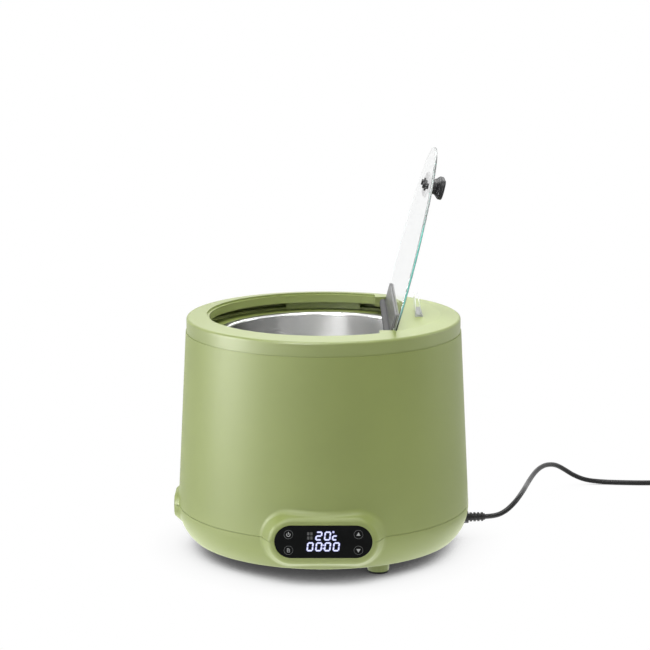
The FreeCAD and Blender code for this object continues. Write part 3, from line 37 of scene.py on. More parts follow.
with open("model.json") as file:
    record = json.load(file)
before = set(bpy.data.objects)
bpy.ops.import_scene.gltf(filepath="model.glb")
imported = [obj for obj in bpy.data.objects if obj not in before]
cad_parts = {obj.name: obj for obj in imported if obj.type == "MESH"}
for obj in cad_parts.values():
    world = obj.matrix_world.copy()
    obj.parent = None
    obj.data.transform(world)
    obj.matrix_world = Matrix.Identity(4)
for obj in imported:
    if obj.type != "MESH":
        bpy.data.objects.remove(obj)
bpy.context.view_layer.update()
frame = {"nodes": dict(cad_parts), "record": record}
nodes = frame["nodes"]
bpy.ops.object.select_all(action="DESELECT")
bpy.context.scene.view_settings.view_transform = "Standard"


# Shader building blocks

# The places of a mix node's colour sockets
MIX_FACTOR = 0
MIX_FIRST = 6
MIX_SECOND = 7
MIX_RESULT = 2


def start_material(name):
    """A new material with its tree and its principled shader."""
    material = bpy.data.materials.new(name)
    material.use_nodes = True
    tree = material.node_tree
    return material, tree, tree.nodes["Principled BSDF"]


def put(node, **values):
    """Sets sockets by name; an underscore stands for a space."""
    for key, value in values.items():
        node.inputs[key.replace("_", " ")].default_value = value
    return node


def feed(tree, value, shader, socket):
    """Links a pattern to one of a shader's sockets."""
    tree.links.new(value, shader.inputs[socket])


def object_space(tree, stretch=(1, 1, 1)):
    """The piece's own coordinates, stretched."""
    place = tree.nodes.new("ShaderNodeTexCoord")
    mapping = tree.nodes.new("ShaderNodeMapping")
    mapping.inputs["Scale"].default_value = stretch
    tree.links.new(place.outputs["Object"], mapping.inputs["Vector"])
    return mapping.outputs["Vector"]


def own_place(tree):
    """The piece's own coordinates as X, Y and Z."""
    place = tree.nodes.new("ShaderNodeTexCoord")
    split = tree.nodes.new("ShaderNodeSeparateXYZ")
    tree.links.new(place.outputs["Object"], split.inputs["Vector"])
    return split.outputs["X"], split.outputs["Y"], split.outputs["Z"]


def maths(tree, operation, first, second=None):
    """One sum on sockets or plain numbers."""
    node = tree.nodes.new("ShaderNodeMath")
    node.operation = operation
    for socket, value in zip(node.inputs, (first, second)):
        if value is None:
            continue
        if isinstance(value, (int, float)):
            socket.default_value = value
        else:
            tree.links.new(value, socket)
    return node.outputs["Value"]


def distance(tree, across, up):
    """How far a place is from an axis, from its two offsets."""
    squares = [maths(tree, "MULTIPLY", offset, offset) for offset in (across, up)]
    return maths(tree, "SQRT", maths(tree, "ADD", *squares))


def along(tree, vector, direction):
    """How far a vector reaches in a direction."""
    node = tree.nodes.new("ShaderNodeVectorMath")
    node.operation = "DOT_PRODUCT"
    tree.links.new(vector, node.inputs[0])
    node.inputs[1].default_value = direction
    return node.outputs["Value"]


def around_axis(tree, turns=2.0, lines=1500.0):
    """Coordinates that run round the pot's axis, slow along the turn and fast across it."""
    x, y, z = own_place(tree)
    angle = maths(tree, "ARCTAN2", y, x)
    across = maths(tree, "ADD", distance(tree, x, y), z)
    join = tree.nodes.new("ShaderNodeCombineXYZ")
    tree.links.new(maths(tree, "MULTIPLY", angle, turns), join.inputs["X"])
    tree.links.new(maths(tree, "MULTIPLY", across, lines), join.inputs["Y"])
    return join.outputs["Vector"]


def noise(tree, space, scale, detail=3.0):
    """A cloudy pattern; a stretched space makes it into lines."""
    texture = put(tree.nodes.new("ShaderNodeTexNoise"), Scale=scale, Detail=detail)
    tree.links.new(space, texture.inputs["Vector"])
    return texture.outputs["Fac"]


def spread(tree, value, low, high, start=0.35, stop=0.65):
    """Maps a pattern onto a range of numbers."""
    node = put(tree.nodes.new("ShaderNodeMapRange"), From_Min=start, From_Max=stop, To_Min=low, To_Max=high)
    tree.links.new(value, node.inputs["Value"])
    return node.outputs["Result"]


def two_tone(tree, factor, first, second):
    """Blends two colours by a pattern; a colour is three numbers or a socket."""
    node = tree.nodes.new("ShaderNodeMix")
    node.data_type = "RGBA"
    tree.links.new(factor, node.inputs[MIX_FACTOR])
    for socket, colour in zip((node.inputs[MIX_FIRST], node.inputs[MIX_SECOND]), (first, second)):
        if isinstance(colour, tuple):
            socket.default_value = (*colour, 1)
        else:
            tree.links.new(colour, socket)
    return node.outputs[MIX_RESULT]


def ramp(tree, value, stops):
    """Colours a pattern by its stops, from black at its start."""
    node = tree.nodes.new("ShaderNodeValToRGB")
    elements = node.color_ramp.elements
    elements.remove(elements[1])
    for share, tone in stops:
        elements.new(share).color = (*tone, 1)
    tree.links.new(value, node.inputs["Fac"])
    return node.outputs["Color"]


def mottle(tree, shader, pattern, colour, share):
    """Colours a shader by a pattern, between a colour and a share of it."""
    other = tuple(part * share for part in colour)
    feed(tree, two_tone(tree, spread(tree, pattern, 0.0, 1.0), colour, other), shader, "Base Color")


def vary_rough(tree, shader, pattern, rough, less, more):
    """Lets the roughness drift with a pattern."""
    feed(tree, spread(tree, pattern, rough - less, rough + more), shader, "Roughness")


def raise_grain(tree, shader, pattern, strength, depth):
    """Lets the surface rise and fall with a pattern."""
    bump = put(tree.nodes.new("ShaderNodeBump"), Strength=strength, Distance=depth)
    tree.links.new(pattern, bump.inputs["Height"])
    feed(tree, bump.outputs["Normal"], shader, "Normal")


# Finishes

GRAIN_DEPTH = 0.2 * MM
LINE_DEPTH = 0.1 * MM
# The rolled part's radius about the hinge rod, and how far out its painted shade fades
BARREL_RADIUS = 4.2 * MM
BARREL_SHADE_FADE = 1.1
OPEN_ANGLE = math.radians(104.4)
LID_NORMAL = (math.sin(OPEN_ANGLE), 0, math.cos(OPEN_ANGLE))
# The glass edge's tones, each from its share of the way up the open lid: painted shade dark by the hinge,
# the glass's green along the middle, and grey at the top painted for the light the edge passes on from
# around it
GLASS_EDGE_GREEN_AND_PAINTED_SHADE = [
    (0.13, (0.06, 0.07, 0.07)), (0.19, (0.18, 0.5, 0.43)), (0.24, (0.18, 0.68, 0.57)),
    (0.6, (0.18, 0.68, 0.57)), (0.68, (0.3, 0.33, 0.32)), (1.0, (0.1, 0.105, 0.1)),
]
# The edge's coloured line, how far in it fades, and the pale tone beside it
GLASS_LINE = 2.3 * MM
GLASS_LINE_FADE = 0.8
GLASS_RIM = (0.86, 0.92, 0.9)
# How squarely a surface looks along the lid's normal where the cut edge ends and the face starts
CUT_ENDS = 0.35
FACE_STARTS = 0.75
GLASS_FACE_ROUGH = 0.02
GLASS_CUT_ROUGH = 0.25
GLASS_CUT_CLEAR = 0.25


def moulded_plastic(name, colour, rough=0.42, gloss=0.5):
    """Moulded plastic with a fine spark-eroded grain and a slight drift of colour."""
    material, tree, shader = start_material(name)
    put(shader, Specular_IOR_Level=gloss)
    space = object_space(tree)
    mottle(tree, shader, noise(tree, space, scale=9.0), colour, share=0.94)
    fine = noise(tree, space, scale=1600.0, detail=2.0)
    vary_rough(tree, shader, fine, rough, less=0.04, more=0.05)
    raise_grain(tree, shader, fine, strength=0.12, depth=GRAIN_DEPTH)
    return material


def turned_steel(name, colour, rough, anisotropy=0.75):
    """Spun stainless sheet with faint lines round the axis."""
    material, tree, shader = start_material(name)
    lines = noise(tree, around_axis(tree), scale=1.0, detail=4.0)
    mottle(tree, shader, lines, colour, share=0.985)
    vary_rough(tree, shader, lines, rough, less=0.01, more=0.01)
    put(shader, Metallic=1.0, Anisotropic=anisotropy, Anisotropic_Rotation=0.25)
    tangent = tree.nodes.new("ShaderNodeTangent")
    tangent.direction_type = "RADIAL"
    tangent.axis = "Z"
    feed(tree, tangent.outputs["Tangent"], shader, "Tangent")
    raise_grain(tree, shader, lines, strength=0.006, depth=LINE_DEPTH)
    return material


def straight_grain(tree, shader, rough, stretch):
    """Fine straight lines in the gloss and the surface. Gives their pattern."""
    lines = noise(tree, object_space(tree, stretch), scale=1.0)
    vary_rough(tree, shader, lines, rough, less=0.06, more=0.08)
    raise_grain(tree, shader, lines, strength=0.08, depth=LINE_DEPTH)
    return lines


def sheet_steel(name, colour, rough=0.34, grain=(40, 2600, 2600)):
    """Straight-grained sheet or drawn wire."""
    material, tree, shader = start_material(name)
    lines = straight_grain(tree, shader, rough, grain)
    mottle(tree, shader, lines, colour, share=0.86)
    put(shader, Metallic=1.0)
    return material


def rolled_hinge(name, leaf, barrel_shade, rough=0.4):
    """Grained grey sheet with painted shade round the hinge rod: darker and dull where the sheet is rolled
    about it.
    """
    material, tree, shader = start_material(name)
    low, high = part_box("hinge_rod")
    x, _, z = own_place(tree)
    across = maths(tree, "SUBTRACT", x, (low.x + high.x) / 2)
    up = maths(tree, "SUBTRACT", z, (low.z + high.z) / 2)
    reach = distance(tree, across, up)
    # painted shade: darker and not metallic within the rolled part's radius of the hinge rod, fading out
    # onto the leaf
    flat = spread(tree, reach, 0.0, 1.0, BARREL_RADIUS, BARREL_SHADE_FADE * BARREL_RADIUS)
    feed(tree, two_tone(tree, flat, barrel_shade, leaf), shader, "Base Color")
    feed(tree, flat, shader, "Metallic")
    put(shader, Specular_IOR_Level=0.0)
    straight_grain(tree, shader, rough, (2600, 40, 2600))
    return material


def soft_rubber(name, colour, rough=0.62, gloss=0.3):
    """Dull rubber or soft vinyl with a fine mottle."""
    material, tree, shader = start_material(name)
    put(shader, Specular_IOR_Level=gloss)
    fine = noise(tree, object_space(tree), scale=900.0)
    mottle(tree, shader, fine, colour, share=1.5)
    vary_rough(tree, shader, fine, rough, less=0.08, more=0.08)
    raise_grain(tree, shader, fine, strength=0.15, depth=GRAIN_DEPTH)
    return material


def gloss_panel(name, colour):
    """Smoked gloss sheet with faint moulding waves."""
    material, tree, shader = start_material(name)
    wave = noise(tree, object_space(tree), scale=60.0, detail=2.0)
    mottle(tree, shader, wave, colour, share=0.8)
    vary_rough(tree, shader, wave, rough=0.1, less=0.0, more=0.06)
    put(shader, Specular_IOR_Level=0.03)
    raise_grain(tree, shader, wave, strength=0.01, depth=GRAIN_DEPTH)
    return material


def clear_glass(name, face, normal, low, high, outer):
    """Clear tempered glass whose faces are square to a direction.

    Its cut edge has a line along its outer side, coloured by height: painted shade dark by the hinge,
    green along the middle, and grey at the top painted for the light the edge passes on.
    """
    material, tree, shader = start_material(name)
    place = tree.nodes.new("ShaderNodeTexCoord")
    facing = maths(tree, "ABSOLUTE", along(tree, place.outputs["Normal"], normal))
    depth = along(tree, place.outputs["Object"], normal)
    line = spread(tree, depth, 0.0, 1.0, outer - GLASS_LINE, outer - GLASS_LINE_FADE * GLASS_LINE)
    _, _, height = own_place(tree)
    # painted shade and light: the edge line's tones by height up the open lid
    edge = ramp(tree, spread(tree, height, 0.0, 1.0, low, high), GLASS_EDGE_GREEN_AND_PAINTED_SHADE)
    cut = spread(tree, facing, 1.0, 0.0, CUT_ENDS, FACE_STARTS)
    rim_with_painted_shade = two_tone(tree, line, GLASS_RIM, edge)
    feed(tree, two_tone(tree, cut, face, rim_with_painted_shade), shader, "Base Color")
    feed(tree, spread(tree, cut, 1.0, GLASS_CUT_CLEAR, 0.0, 1.0), shader, "Transmission Weight")
    feed(tree, spread(tree, cut, GLASS_FACE_ROUGH, GLASS_CUT_ROUGH, 0.0, 1.0), shader, "Roughness")
    put(shader, IOR=1.5)
    return material


def clear_plastic(name, colour):
    """Clear sheet with a slight haze."""
    material, tree, shader = start_material(name)
    haze = noise(tree, object_space(tree), scale=240.0, detail=2.0)
    vary_rough(tree, shader, haze, rough=0.04, less=0.0, more=0.08)
    mottle(tree, shader, haze, colour, share=0.96)
    put(shader, Transmission_Weight=0.6, IOR=1.3)
    return material


def glowing_mark(name, colour, weaker):
    """Light from the display's segments, a little weaker in a fine grain."""
    material, tree, shader = start_material(name)
    fine = noise(tree, object_space(tree), scale=1200.0, detail=2.0)
    feed(tree, two_tone(tree, spread(tree, fine, 0.0, 1.0), colour, weaker), shader, "Emission Color")
    put(shader, Base_Color=(0.02, 0.02, 0.02, 1), Emission_Strength=1.0, Roughness=0.5)
    return material


GREEN = (0.2, 0.243, 0.06)


def lid_glass_finish():
    """The lid's clear glass, its edge's painted shade and light fitted to where the open lid stands."""
    low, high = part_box("lid_glass")
    outer = max(v.co.dot(Vector(LID_NORMAL)) for v in nodes["lid_glass"].data.vertices)
    return clear_glass("lid_glass", (0.98, 1.0, 0.995), LID_NORMAL, low.z, high.z, outer)


def finishes():
    """One finish for each of the record's slots."""
    return {
        "casing_plastic": moulded_plastic("casing_green", GREEN, rough=0.46),
        "base_plastic": moulded_plastic("base_green", GREEN, rough=0.55),
        "ring_plastic": moulded_plastic("ring_green", GREEN, rough=0.4, gloss=0.75),
        "foot_rubber": soft_rubber("foot_rubber", (0.012, 0.012, 0.012)),
        "seal_rubber": soft_rubber("seal_rubber", (0.015, 0.015, 0.015)),
        "guard_plastic": moulded_plastic("guard_black", (0.015, 0.015, 0.015), rough=0.5, gloss=0.2),
        "screw_steel": sheet_steel("screw_zinc", (0.45, 0.45, 0.44)),
        "screw_black": sheet_steel("screw_black", (0.03, 0.03, 0.03), rough=0.35, grain=(900, 900, 900)),
        "washer_plastic": moulded_plastic("washer_black", (0.018, 0.018, 0.018), rough=0.45),
        "pot_steel": turned_steel("pot_steel", (0.76, 0.76, 0.755), rough=0.22, anisotropy=0.9),
        "well_steel": turned_steel("well_steel", (0.55, 0.55, 0.54), rough=0.3),
        "shield_steel": sheet_steel("shield_steel", (0.5, 0.5, 0.49)),
        "plate_aluminium": sheet_steel("plate_aluminium", (0.6, 0.6, 0.61), rough=0.45,
                                       grain=(700, 700, 700)),
        "element_steel": sheet_steel("element_steel", (0.12, 0.12, 0.125), rough=0.4, grain=(900, 900, 900)),
        "sensor_metal": sheet_steel("sensor_metal", (0.55, 0.55, 0.56), rough=0.35, grain=(800, 800, 800)),
        # the hinge's second, darker tone is painted shade round the rod
        "hinge_steel": rolled_hinge("hinge_steel", leaf=(0.14, 0.14, 0.14), barrel_shade=(0.12, 0.12, 0.12)),
        "rod_steel": sheet_steel("rod_steel", (0.5, 0.5, 0.5), rough=0.25, grain=(2600, 40, 2600)),
        "lid_glass": lid_glass_finish(),
        "handle_plastic": moulded_plastic("handle_black", (0.012, 0.012, 0.013), rough=0.4, gloss=0.2),
        "card_plastic": clear_plastic("card_clear", (0.95, 0.97, 0.96)),
        "panel_plastic": gloss_panel("panel_black", (0.0065, 0.007, 0.007)),
        "inner_plastic": moulded_plastic("inner_grey", (0.06, 0.06, 0.06)),
        "board_laminate": moulded_plastic("board_green", (0.02, 0.09, 0.04), rough=0.35),
        "led_plastic": gloss_panel("led_smoke", (0.02, 0.02, 0.022)),
        "relay_plastic": moulded_plastic("relay_blue", (0.03, 0.07, 0.2), rough=0.3),
        "transformer_core": sheet_steel("transformer_core", (0.1, 0.1, 0.105), rough=0.5,
                                        grain=(40, 40, 1800)),
        "cord_sheath": soft_rubber("cord_black", (0.01, 0.01, 0.01), rough=0.3, gloss=0.2),
        "relief_plastic": soft_rubber("relief_black", (0.01, 0.01, 0.01), rough=0.45, gloss=0.2),
        "tie_plastic": soft_rubber("tie_black", (0.02, 0.02, 0.02)),
        "plug_plastic": moulded_plastic("plug_black", (0.014, 0.014, 0.014), rough=0.4),
        "pin_brass": sheet_steel("pin_nickel", (0.55, 0.53, 0.48), rough=0.22, grain=(2600, 60, 2600)),
    }


def dress_nodes(looks):
    """Gives every carried-over piece the finish of its slot. The clear lid casts no shadow."""
    for entry in frame["record"]["subparts"]:
        piece = nodes[entry["node"]]
        piece.data.materials.clear()
        piece.data.materials.append(looks[entry["material_slot"]])
    nodes["lid_glass"].visible_shadow = False


# The mains lead: the route's points, then the coil's turns worked out by a loop

CORD_DIAMETER = 6.3 * MM
CORD_RADIUS = CORD_DIAMETER / 2
EXIT_ANGLE = math.radians(6)
EXIT_HEIGHT = 27.6 * MM
SLEEVE_END = 200.5 * MM
FIRST_RUN = 12 * MM
# X and Y from the sleeve's end in lead diameters, and a height as a share of the sleeve's
RAISED = [
    (4.02, 0.88, 1.17), (6.13, 2.69, 1.54), (7.49, 5.30, 1.77), (8.55, 9.20, 1.78), (9.02, 11.71, 1.71),
    (9.39, 13.88, 1.64), (9.91, 16.57, 1.56), (10.85, 20.57, 1.53), (11.89, 24.03, 1.56),
    (12.83, 26.62, 1.59), (13.92, 29.12, 1.60), (15.37, 31.92, 1.54), (17.14, 34.76, 1.36),
    (18.53, 36.56, 1.13), (20.05, 38.05, 0.82), (21.97, 39.24, 0.44), (24.64, 40.04, 0.11),
]
LYING = [(28.03, 40.24, 0), (32.0, 39.69, 0), (37.24, 39.37, 0), (42.63, 39.69, 0), (47.56, 40.96, 0)]
COIL_TURNS = 2
COIL_INNER = 27 * MM
COIL_STEP = 8.2 * MM
COIL_RISE = 7 * MM
TIE_THICK = 1 * MM
PLUG_AXIS = 18.1 * MM
POINTS_PER_TURN = 16
# The run from the coil up to the plug, and the shares of it where the climb starts and ends
COIL_RAMP = 50 * MM
CLIMB_STARTS = 0.3
CLIMB_ENDS = 0.7


def route_points():
    """Up over a bend from the sleeve, then along the floor."""
    way = Vector((math.cos(EXIT_ANGLE), math.sin(EXIT_ANGLE), 0))
    start = way * SLEEVE_END + Vector((0, 0, EXIT_HEIGHT))
    points = [start, start + way * FIRST_RUN]
    for x, y, share in RAISED + LYING:
        height = CORD_RADIUS + share * (EXIT_HEIGHT - CORD_RADIUS)
        points.append(Vector((start.x + x * CORD_DIAMETER, start.y + y * CORD_DIAMETER, height)))
    return points


def eased(share):
    """A share from 0 to 1 that starts and stops gently."""
    share = min(1.0, max(0.0, share))
    return share * share * (3 - 2 * share)


def coil_points(start, way):
    """In on the lower layer, up through half a turn, out on the upper one and on to the plug."""
    low = TIE_THICK + CORD_RADIUS
    high = low + COIL_RISE
    outer = COIL_INNER + COIL_TURNS * COIL_STEP
    lead = start + way * CORD_DIAMETER
    centre = lead + Vector((way.y, -way.x, 0)) * outer
    first = math.atan2(lead.y - centre.y, lead.x - centre.x)
    inward = COIL_TURNS * math.tau
    climbed = inward + math.pi
    whole = climbed + (first - climbed) % math.tau + math.tau * (COIL_TURNS - 1)
    count = round(whole / math.tau * POINTS_PER_TURN)
    points = []
    for k in range(1, count + 1):
        swept = whole * k / count
        if swept < inward:
            reach = outer - COIL_STEP * swept / math.tau
        else:
            reach = COIL_INNER + COIL_STEP * max(0.0, swept - climbed) / math.tau
        height = low + COIL_RISE * eased((swept - inward) / math.pi)
        # the first quarter turn comes up from the floor onto the tie
        height -= TIE_THICK * max(0.0, 1 - swept / (math.pi / 2))
        angle = first - swept
        x = centre.x + reach * math.cos(angle)
        y = centre.y + reach * math.sin(angle)
        points.append(Vector((x, y, height)))
    ahead = Vector((math.sin(first - whole), -math.cos(first - whole), 0))
    last = points[-1]
    rise = Vector((0, 0, PLUG_AXIS - high))
    points.append(last + ahead * COIL_RAMP * CLIMB_STARTS)
    points.append(last + ahead * COIL_RAMP * CLIMB_ENDS + rise)
    points.append(last + ahead * COIL_RAMP + rise)
    points.append(last + ahead * (COIL_RAMP + CORD_DIAMETER) + rise)
    return points


def mains_lead(finish):
    """One smooth cord from the sleeve to the plug."""
    route = route_points()
    points = route + coil_points(route[-1], (route[-1] - route[-2]).normalized())
    curve = bpy.data.curves.new("mains_lead", "CURVE")
    curve.dimensions = "3D"
    spline = curve.splines.new("NURBS")
    spline.points.add(len(points) - 1)
    for target, place in zip(spline.points, points):
        target.co = (*place, 1)
    spline.order_u = 3
    spline.use_endpoint_u = True
    spline.resolution_u = 8
    curve.bevel_depth = CORD_RADIUS
    curve.bevel_resolution = 6
    curve.use_fill_caps = True
    lead = bpy.data.objects.new("mains_lead", curve)
    bpy.context.scene.collection.objects.link(lead)
    curve.materials.append(finish)
    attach(lead, "housing")
    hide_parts("power_cord", "cord_coil")


# Flat marks for the display panel, drawn in the XY plane

PANEL_LOW, PANEL_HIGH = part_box("display_panel")
PANEL_FRONT = PANEL_LOW.y
PANEL_MIDDLE = (PANEL_LOW.z + PANEL_HIGH.z) / 2
MARK_LIFT = 0.06 * MM
MARK_THICK = 0.04 * MM
MARK_GAP = 0.02 * MM


def choose(piece):
    """Makes one piece the only selected and active one."""
    bpy.ops.object.select_all(action="DESELECT")
    piece.select_set(True)
    bpy.context.view_layer.objects.active = piece


def pick_vertices(piece, wanted):
    """Selects the vertices whose place passes, and stays in edit mode."""
    choose(piece)
    bpy.ops.object.mode_set(mode="EDIT")
    bpy.ops.mesh.select_all(action="DESELECT")
    bpy.ops.object.mode_set(mode="OBJECT")
    for vertex in piece.data.vertices:
        vertex.select = wanted(vertex.co)
    bpy.ops.object.mode_set(mode="EDIT")


def segment_bar(length, width):
    """A pointed bar along X."""
    corner = width / math.sqrt(3)
    bpy.ops.mesh.primitive_circle_add(vertices=6, radius=corner, fill_type="NGON",
                                      rotation=(0, 0, math.pi / 6))
    bpy.ops.object.transform_apply(location=False, rotation=True, scale=False)
    bar = bpy.context.active_object
    reach = (length - 2 * corner) / 2
    for sign in (1, -1):
        pick_vertices(bar, lambda co: sign * co.x > 1e-6)
        bpy.ops.transform.translate(value=(sign * reach, 0, 0))
        bpy.ops.object.mode_set(mode="OBJECT")
    return bar


def round_mark(radius, sides):
    """A disc, or with few sides a triangle or the like."""
    bpy.ops.mesh.primitive_circle_add(vertices=sides, radius=radius, fill_type="NGON")
    return bpy.context.active_object


def ring_mark(radius, width, sides):
    """A thin ring."""
    ring = round_mark(radius, sides)
    bpy.ops.object.mode_set(mode="EDIT")
    bpy.ops.mesh.select_all(action="SELECT")
    bpy.ops.mesh.inset(thickness=width, depth=0)
    bpy.ops.mesh.delete(type="FACE")
    bpy.ops.object.mode_set(mode="OBJECT")
    return ring


def bar_mark(width, tall):
    """A plain bar."""
    bpy.ops.mesh.primitive_plane_add(size=1)
    bar = bpy.context.active_object
    bar.scale = (width, tall, 1)
    bpy.ops.object.transform_apply(location=False, rotation=False, scale=True)
    return bar


def shift_mark(mark, x, y, turn=0.0):
    """Turns a flat mark and moves it in its own plane."""
    mark.rotation_euler = (0, 0, turn)
    mark.location = (x, y, 0)
    choose(mark)
    bpy.ops.object.transform_apply(location=True, rotation=True, scale=False)
    return mark


def join_marks(name, marks):
    """Makes several marks one named piece."""
    bpy.ops.object.select_all(action="DESELECT")
    for mark in marks:
        mark.select_set(True)
    bpy.context.view_layer.objects.active = marks[0]
    bpy.ops.object.join()
    piece = bpy.context.active_object
    piece.name = name
    piece.data.name = name
    return piece


def print_on_panel(name, marks, finish, lift=MARK_LIFT):
    """Joins flat marks, gives them thickness and stands them on the panel's face."""
    piece = join_marks(name, marks)
    bpy.ops.object.mode_set(mode="EDIT")
    bpy.ops.mesh.select_all(action="SELECT")
    bpy.ops.mesh.extrude_region_move(TRANSFORM_OT_translate={"value": (0, 0, MARK_THICK)})
    bpy.ops.mesh.select_all(action="SELECT")
    bpy.ops.mesh.normals_make_consistent(inside=False)
    bpy.ops.object.mode_set(mode="OBJECT")
    for vertex in piece.data.vertices:
        x, y, z = vertex.co
        vertex.co = (x, PANEL_FRONT - lift - z, PANEL_MIDDLE + y)
    piece.data.materials.append(finish)
    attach(piece, "housing")


# The reading, the timer and the unlit signs

SLANT = math.tan(math.radians(7))
LIT_SEGMENTS = {"0": "abcdef", "2": "abdeg", "c": "deg"}
DIGIT_TALL = 10.6 * MM
DIGIT_WIDE = 5.9 * MM
STROKE = 1.5 * MM
SEGMENT_GAP = 0.5 * MM
GLOW_WIDTH = 0.7 * MM
READING_ROW = 7.0 * MM
TIMER_ROW = -5.8 * MM
READING = [("2", -5.2 * MM), ("0", 4.7 * MM)]
TIMER = [("0", -15.2 * MM), ("0", -5.3 * MM), ("0", 4.7 * MM), ("0", 14.7 * MM)]
UNIT_X = 13.2 * MM
UNIT_WIDE = 4.6 * MM
DEGREE_X = 11.4 * MM
DEGREE_RISE = 4.6 * MM
DEGREE_RADIUS = 1.1 * MM
DEGREE_STROKE = 0.6 * MM
COLON_X = -0.3 * MM
COLON_RISE = 1.9 * MM
COLON_RADIUS = 0.7 * MM
UNLIT_COLUMNS = (-17.3 * MM, -13.7 * MM)
UNLIT_ROWS = (9.6 * MM, 4.6 * MM)
UNLIT_WIDE = 2.6 * MM
UNLIT_TALL = 3.6 * MM


def digit(sign, x, y, grow, wide=DIGIT_WIDE):
    """The lit segments of one sign, slanted, centred on x, y."""
    half = (DIGIT_TALL - STROKE) / 2
    places = {
        "a": (0, half, 0), "g": (0, 0, 0), "d": (0, -half, 0),
        "b": (wide / 2, half / 2, 1), "c": (wide / 2, -half / 2, 1),
        "e": (-wide / 2, -half / 2, 1), "f": (-wide / 2, half / 2, 1),
    }
    bars = []
    for letter in LIT_SEGMENTS[sign]:
        across, up, standing = places[letter]
        length = (half if standing else wide) - SEGMENT_GAP + grow
        bar = segment_bar(length, STROKE + grow)
        shift_mark(bar, across, up, math.pi / 2 if standing else 0.0)
        for vertex in bar.data.vertices:
            vertex.co.x += SLANT * vertex.co.y
        bars.append(shift_mark(bar, x, y))
    return bars


def lit_marks(grow):
    """The reading above and the timer below; grow widens them for the glow's soft edge."""
    marks = []
    for sign, x in READING:
        marks += digit(sign, x, READING_ROW, grow)
    for sign, x in TIMER:
        marks += digit(sign, x, TIMER_ROW, grow)
    marks += digit("c", UNIT_X, READING_ROW, grow, UNIT_WIDE)
    degree = ring_mark(DEGREE_RADIUS + grow / 2, DEGREE_STROKE + grow, sides=20)
    marks.append(shift_mark(degree, DEGREE_X, READING_ROW + DEGREE_RISE))
    for rise in (-COLON_RISE, COLON_RISE):
        dot = round_mark(COLON_RADIUS + grow / 2, sides=16)
        marks.append(shift_mark(dot, COLON_X, TIMER_ROW + rise))
    return marks


def dim_marks():
    """Unlit signs beside the reading."""
    places = [(x, y) for y in UNLIT_ROWS for x in UNLIT_COLUMNS]
    return [shift_mark(bar_mark(UNLIT_WIDE, UNLIT_TALL), x, y) for x, y in places]


# The touch keys' rings and signs

KEY_X = 40 * MM
KEY_HIGH = 8.7 * MM
KEY_LOW = -10 * MM
KEY_RING_RADIUS = 5.2 * MM
KEY_RING_STROKE = 0.3 * MM
POWER_RADIUS = 2.4 * MM
POWER_STROKE = 0.75 * MM
POWER_DROP = 0.2 * MM
# The power sign's ring is open above this height and within this half width
POWER_OPEN_ABOVE = 1.3 * MM
POWER_OPEN_HALF = 1.5 * MM
POWER_BAR_WIDE = 0.8 * MM
POWER_BAR_TALL = 2.8 * MM
POWER_BAR_RISE = 1.5 * MM
# The timer sign's bars in millimetres: X, Y, width and height
TIMER_SIGN = [
    (-1.3, 0, 0.5, 4.6), (1.3, -0.4, 0.5, 3.8), (0, -2.1, 2.8, 0.5),
    (-0.3, 2.1, 2.2, 0.5), (0, 0.8, 1.5, 0.45), (0, -0.3, 1.5, 0.45),
]
ARROW_RADIUS = 2.7 * MM
ARROW_SHIFT = 0.1 * MM


def key_rings():
    """A fine ring round each of the four keys."""
    places = [(sign * KEY_X, y) for sign in (-1, 1) for y in (KEY_HIGH, KEY_LOW)]
    return [shift_mark(ring_mark(KEY_RING_RADIUS, KEY_RING_STROKE, sides=64), x, y) for x, y in places]


def key_signs():
    """Power, timer, up and down."""
    power = ring_mark(POWER_RADIUS, POWER_STROKE, sides=40)
    pick_vertices(power, lambda co: co.y > POWER_OPEN_ABOVE and abs(co.x) < POWER_OPEN_HALF)
    bpy.ops.mesh.delete(type="VERT")
    bpy.ops.object.mode_set(mode="OBJECT")
    marks = [shift_mark(power, -KEY_X, KEY_HIGH - POWER_DROP)]
    power_bar = bar_mark(POWER_BAR_WIDE, POWER_BAR_TALL)
    marks.append(shift_mark(power_bar, -KEY_X, KEY_HIGH + POWER_BAR_RISE))
    for x, y, width, tall in TIMER_SIGN:
        marks.append(shift_mark(bar_mark(width * MM, tall * MM), -KEY_X + x * MM, KEY_LOW + y * MM))
    for y, turn in ((KEY_HIGH - ARROW_SHIFT, 0.0), (KEY_LOW + ARROW_SHIFT, math.pi)):
        marks.append(shift_mark(round_mark(ARROW_RADIUS, sides=3), KEY_X, y, turn))
    return marks


def display_marks():
    """The lit digits over their glow, and what is printed on the panel."""
    glow = glowing_mark("segment_glow", (0.16, 0.16, 0.62), (0.12, 0.12, 0.5))
    lit = glowing_mark("segment_light", (0.82, 0.85, 1.0), (0.74, 0.78, 1.0))
    dim = moulded_plastic("segment_off", (0.035, 0.036, 0.037), rough=0.5)
    pale = moulded_plastic("key_print", (0.32, 0.33, 0.33), rough=0.5)
    faint = moulded_plastic("key_ring_print", (0.1, 0.105, 0.105), rough=0.5)
    print_on_panel("display_glow", lit_marks(GLOW_WIDTH), glow)
    print_on_panel("display_digits", lit_marks(0.0), lit, MARK_LIFT + MARK_THICK + MARK_GAP)
    print_on_panel("display_unlit", dim_marks(), dim)
    print_on_panel("key_rings", key_rings(), faint)
    print_on_panel("key_signs", key_signs(), pale)


# Floor, light and camera

FLOOR_SIZE = 90
FLOOR_PLACE = (0, 20, -0.2 * MM)
FLOOR_TONE = (0.9, 0.9, 0.9, 1)
SHADE_REACH = 0.07
# The floor's painted shadow: how light it is for each share of open sky above it
FLOOR_PAINTED_SHADOW = [(0.02, 0.02), (0.18, 0.16), (0.4, 0.84), (0.6, 0.955), (0.88, 1.0)]
WHITE = (1, 1, 1, 1)
SKY_LIGHT = 0.32
SKY_SEEN = 1.0
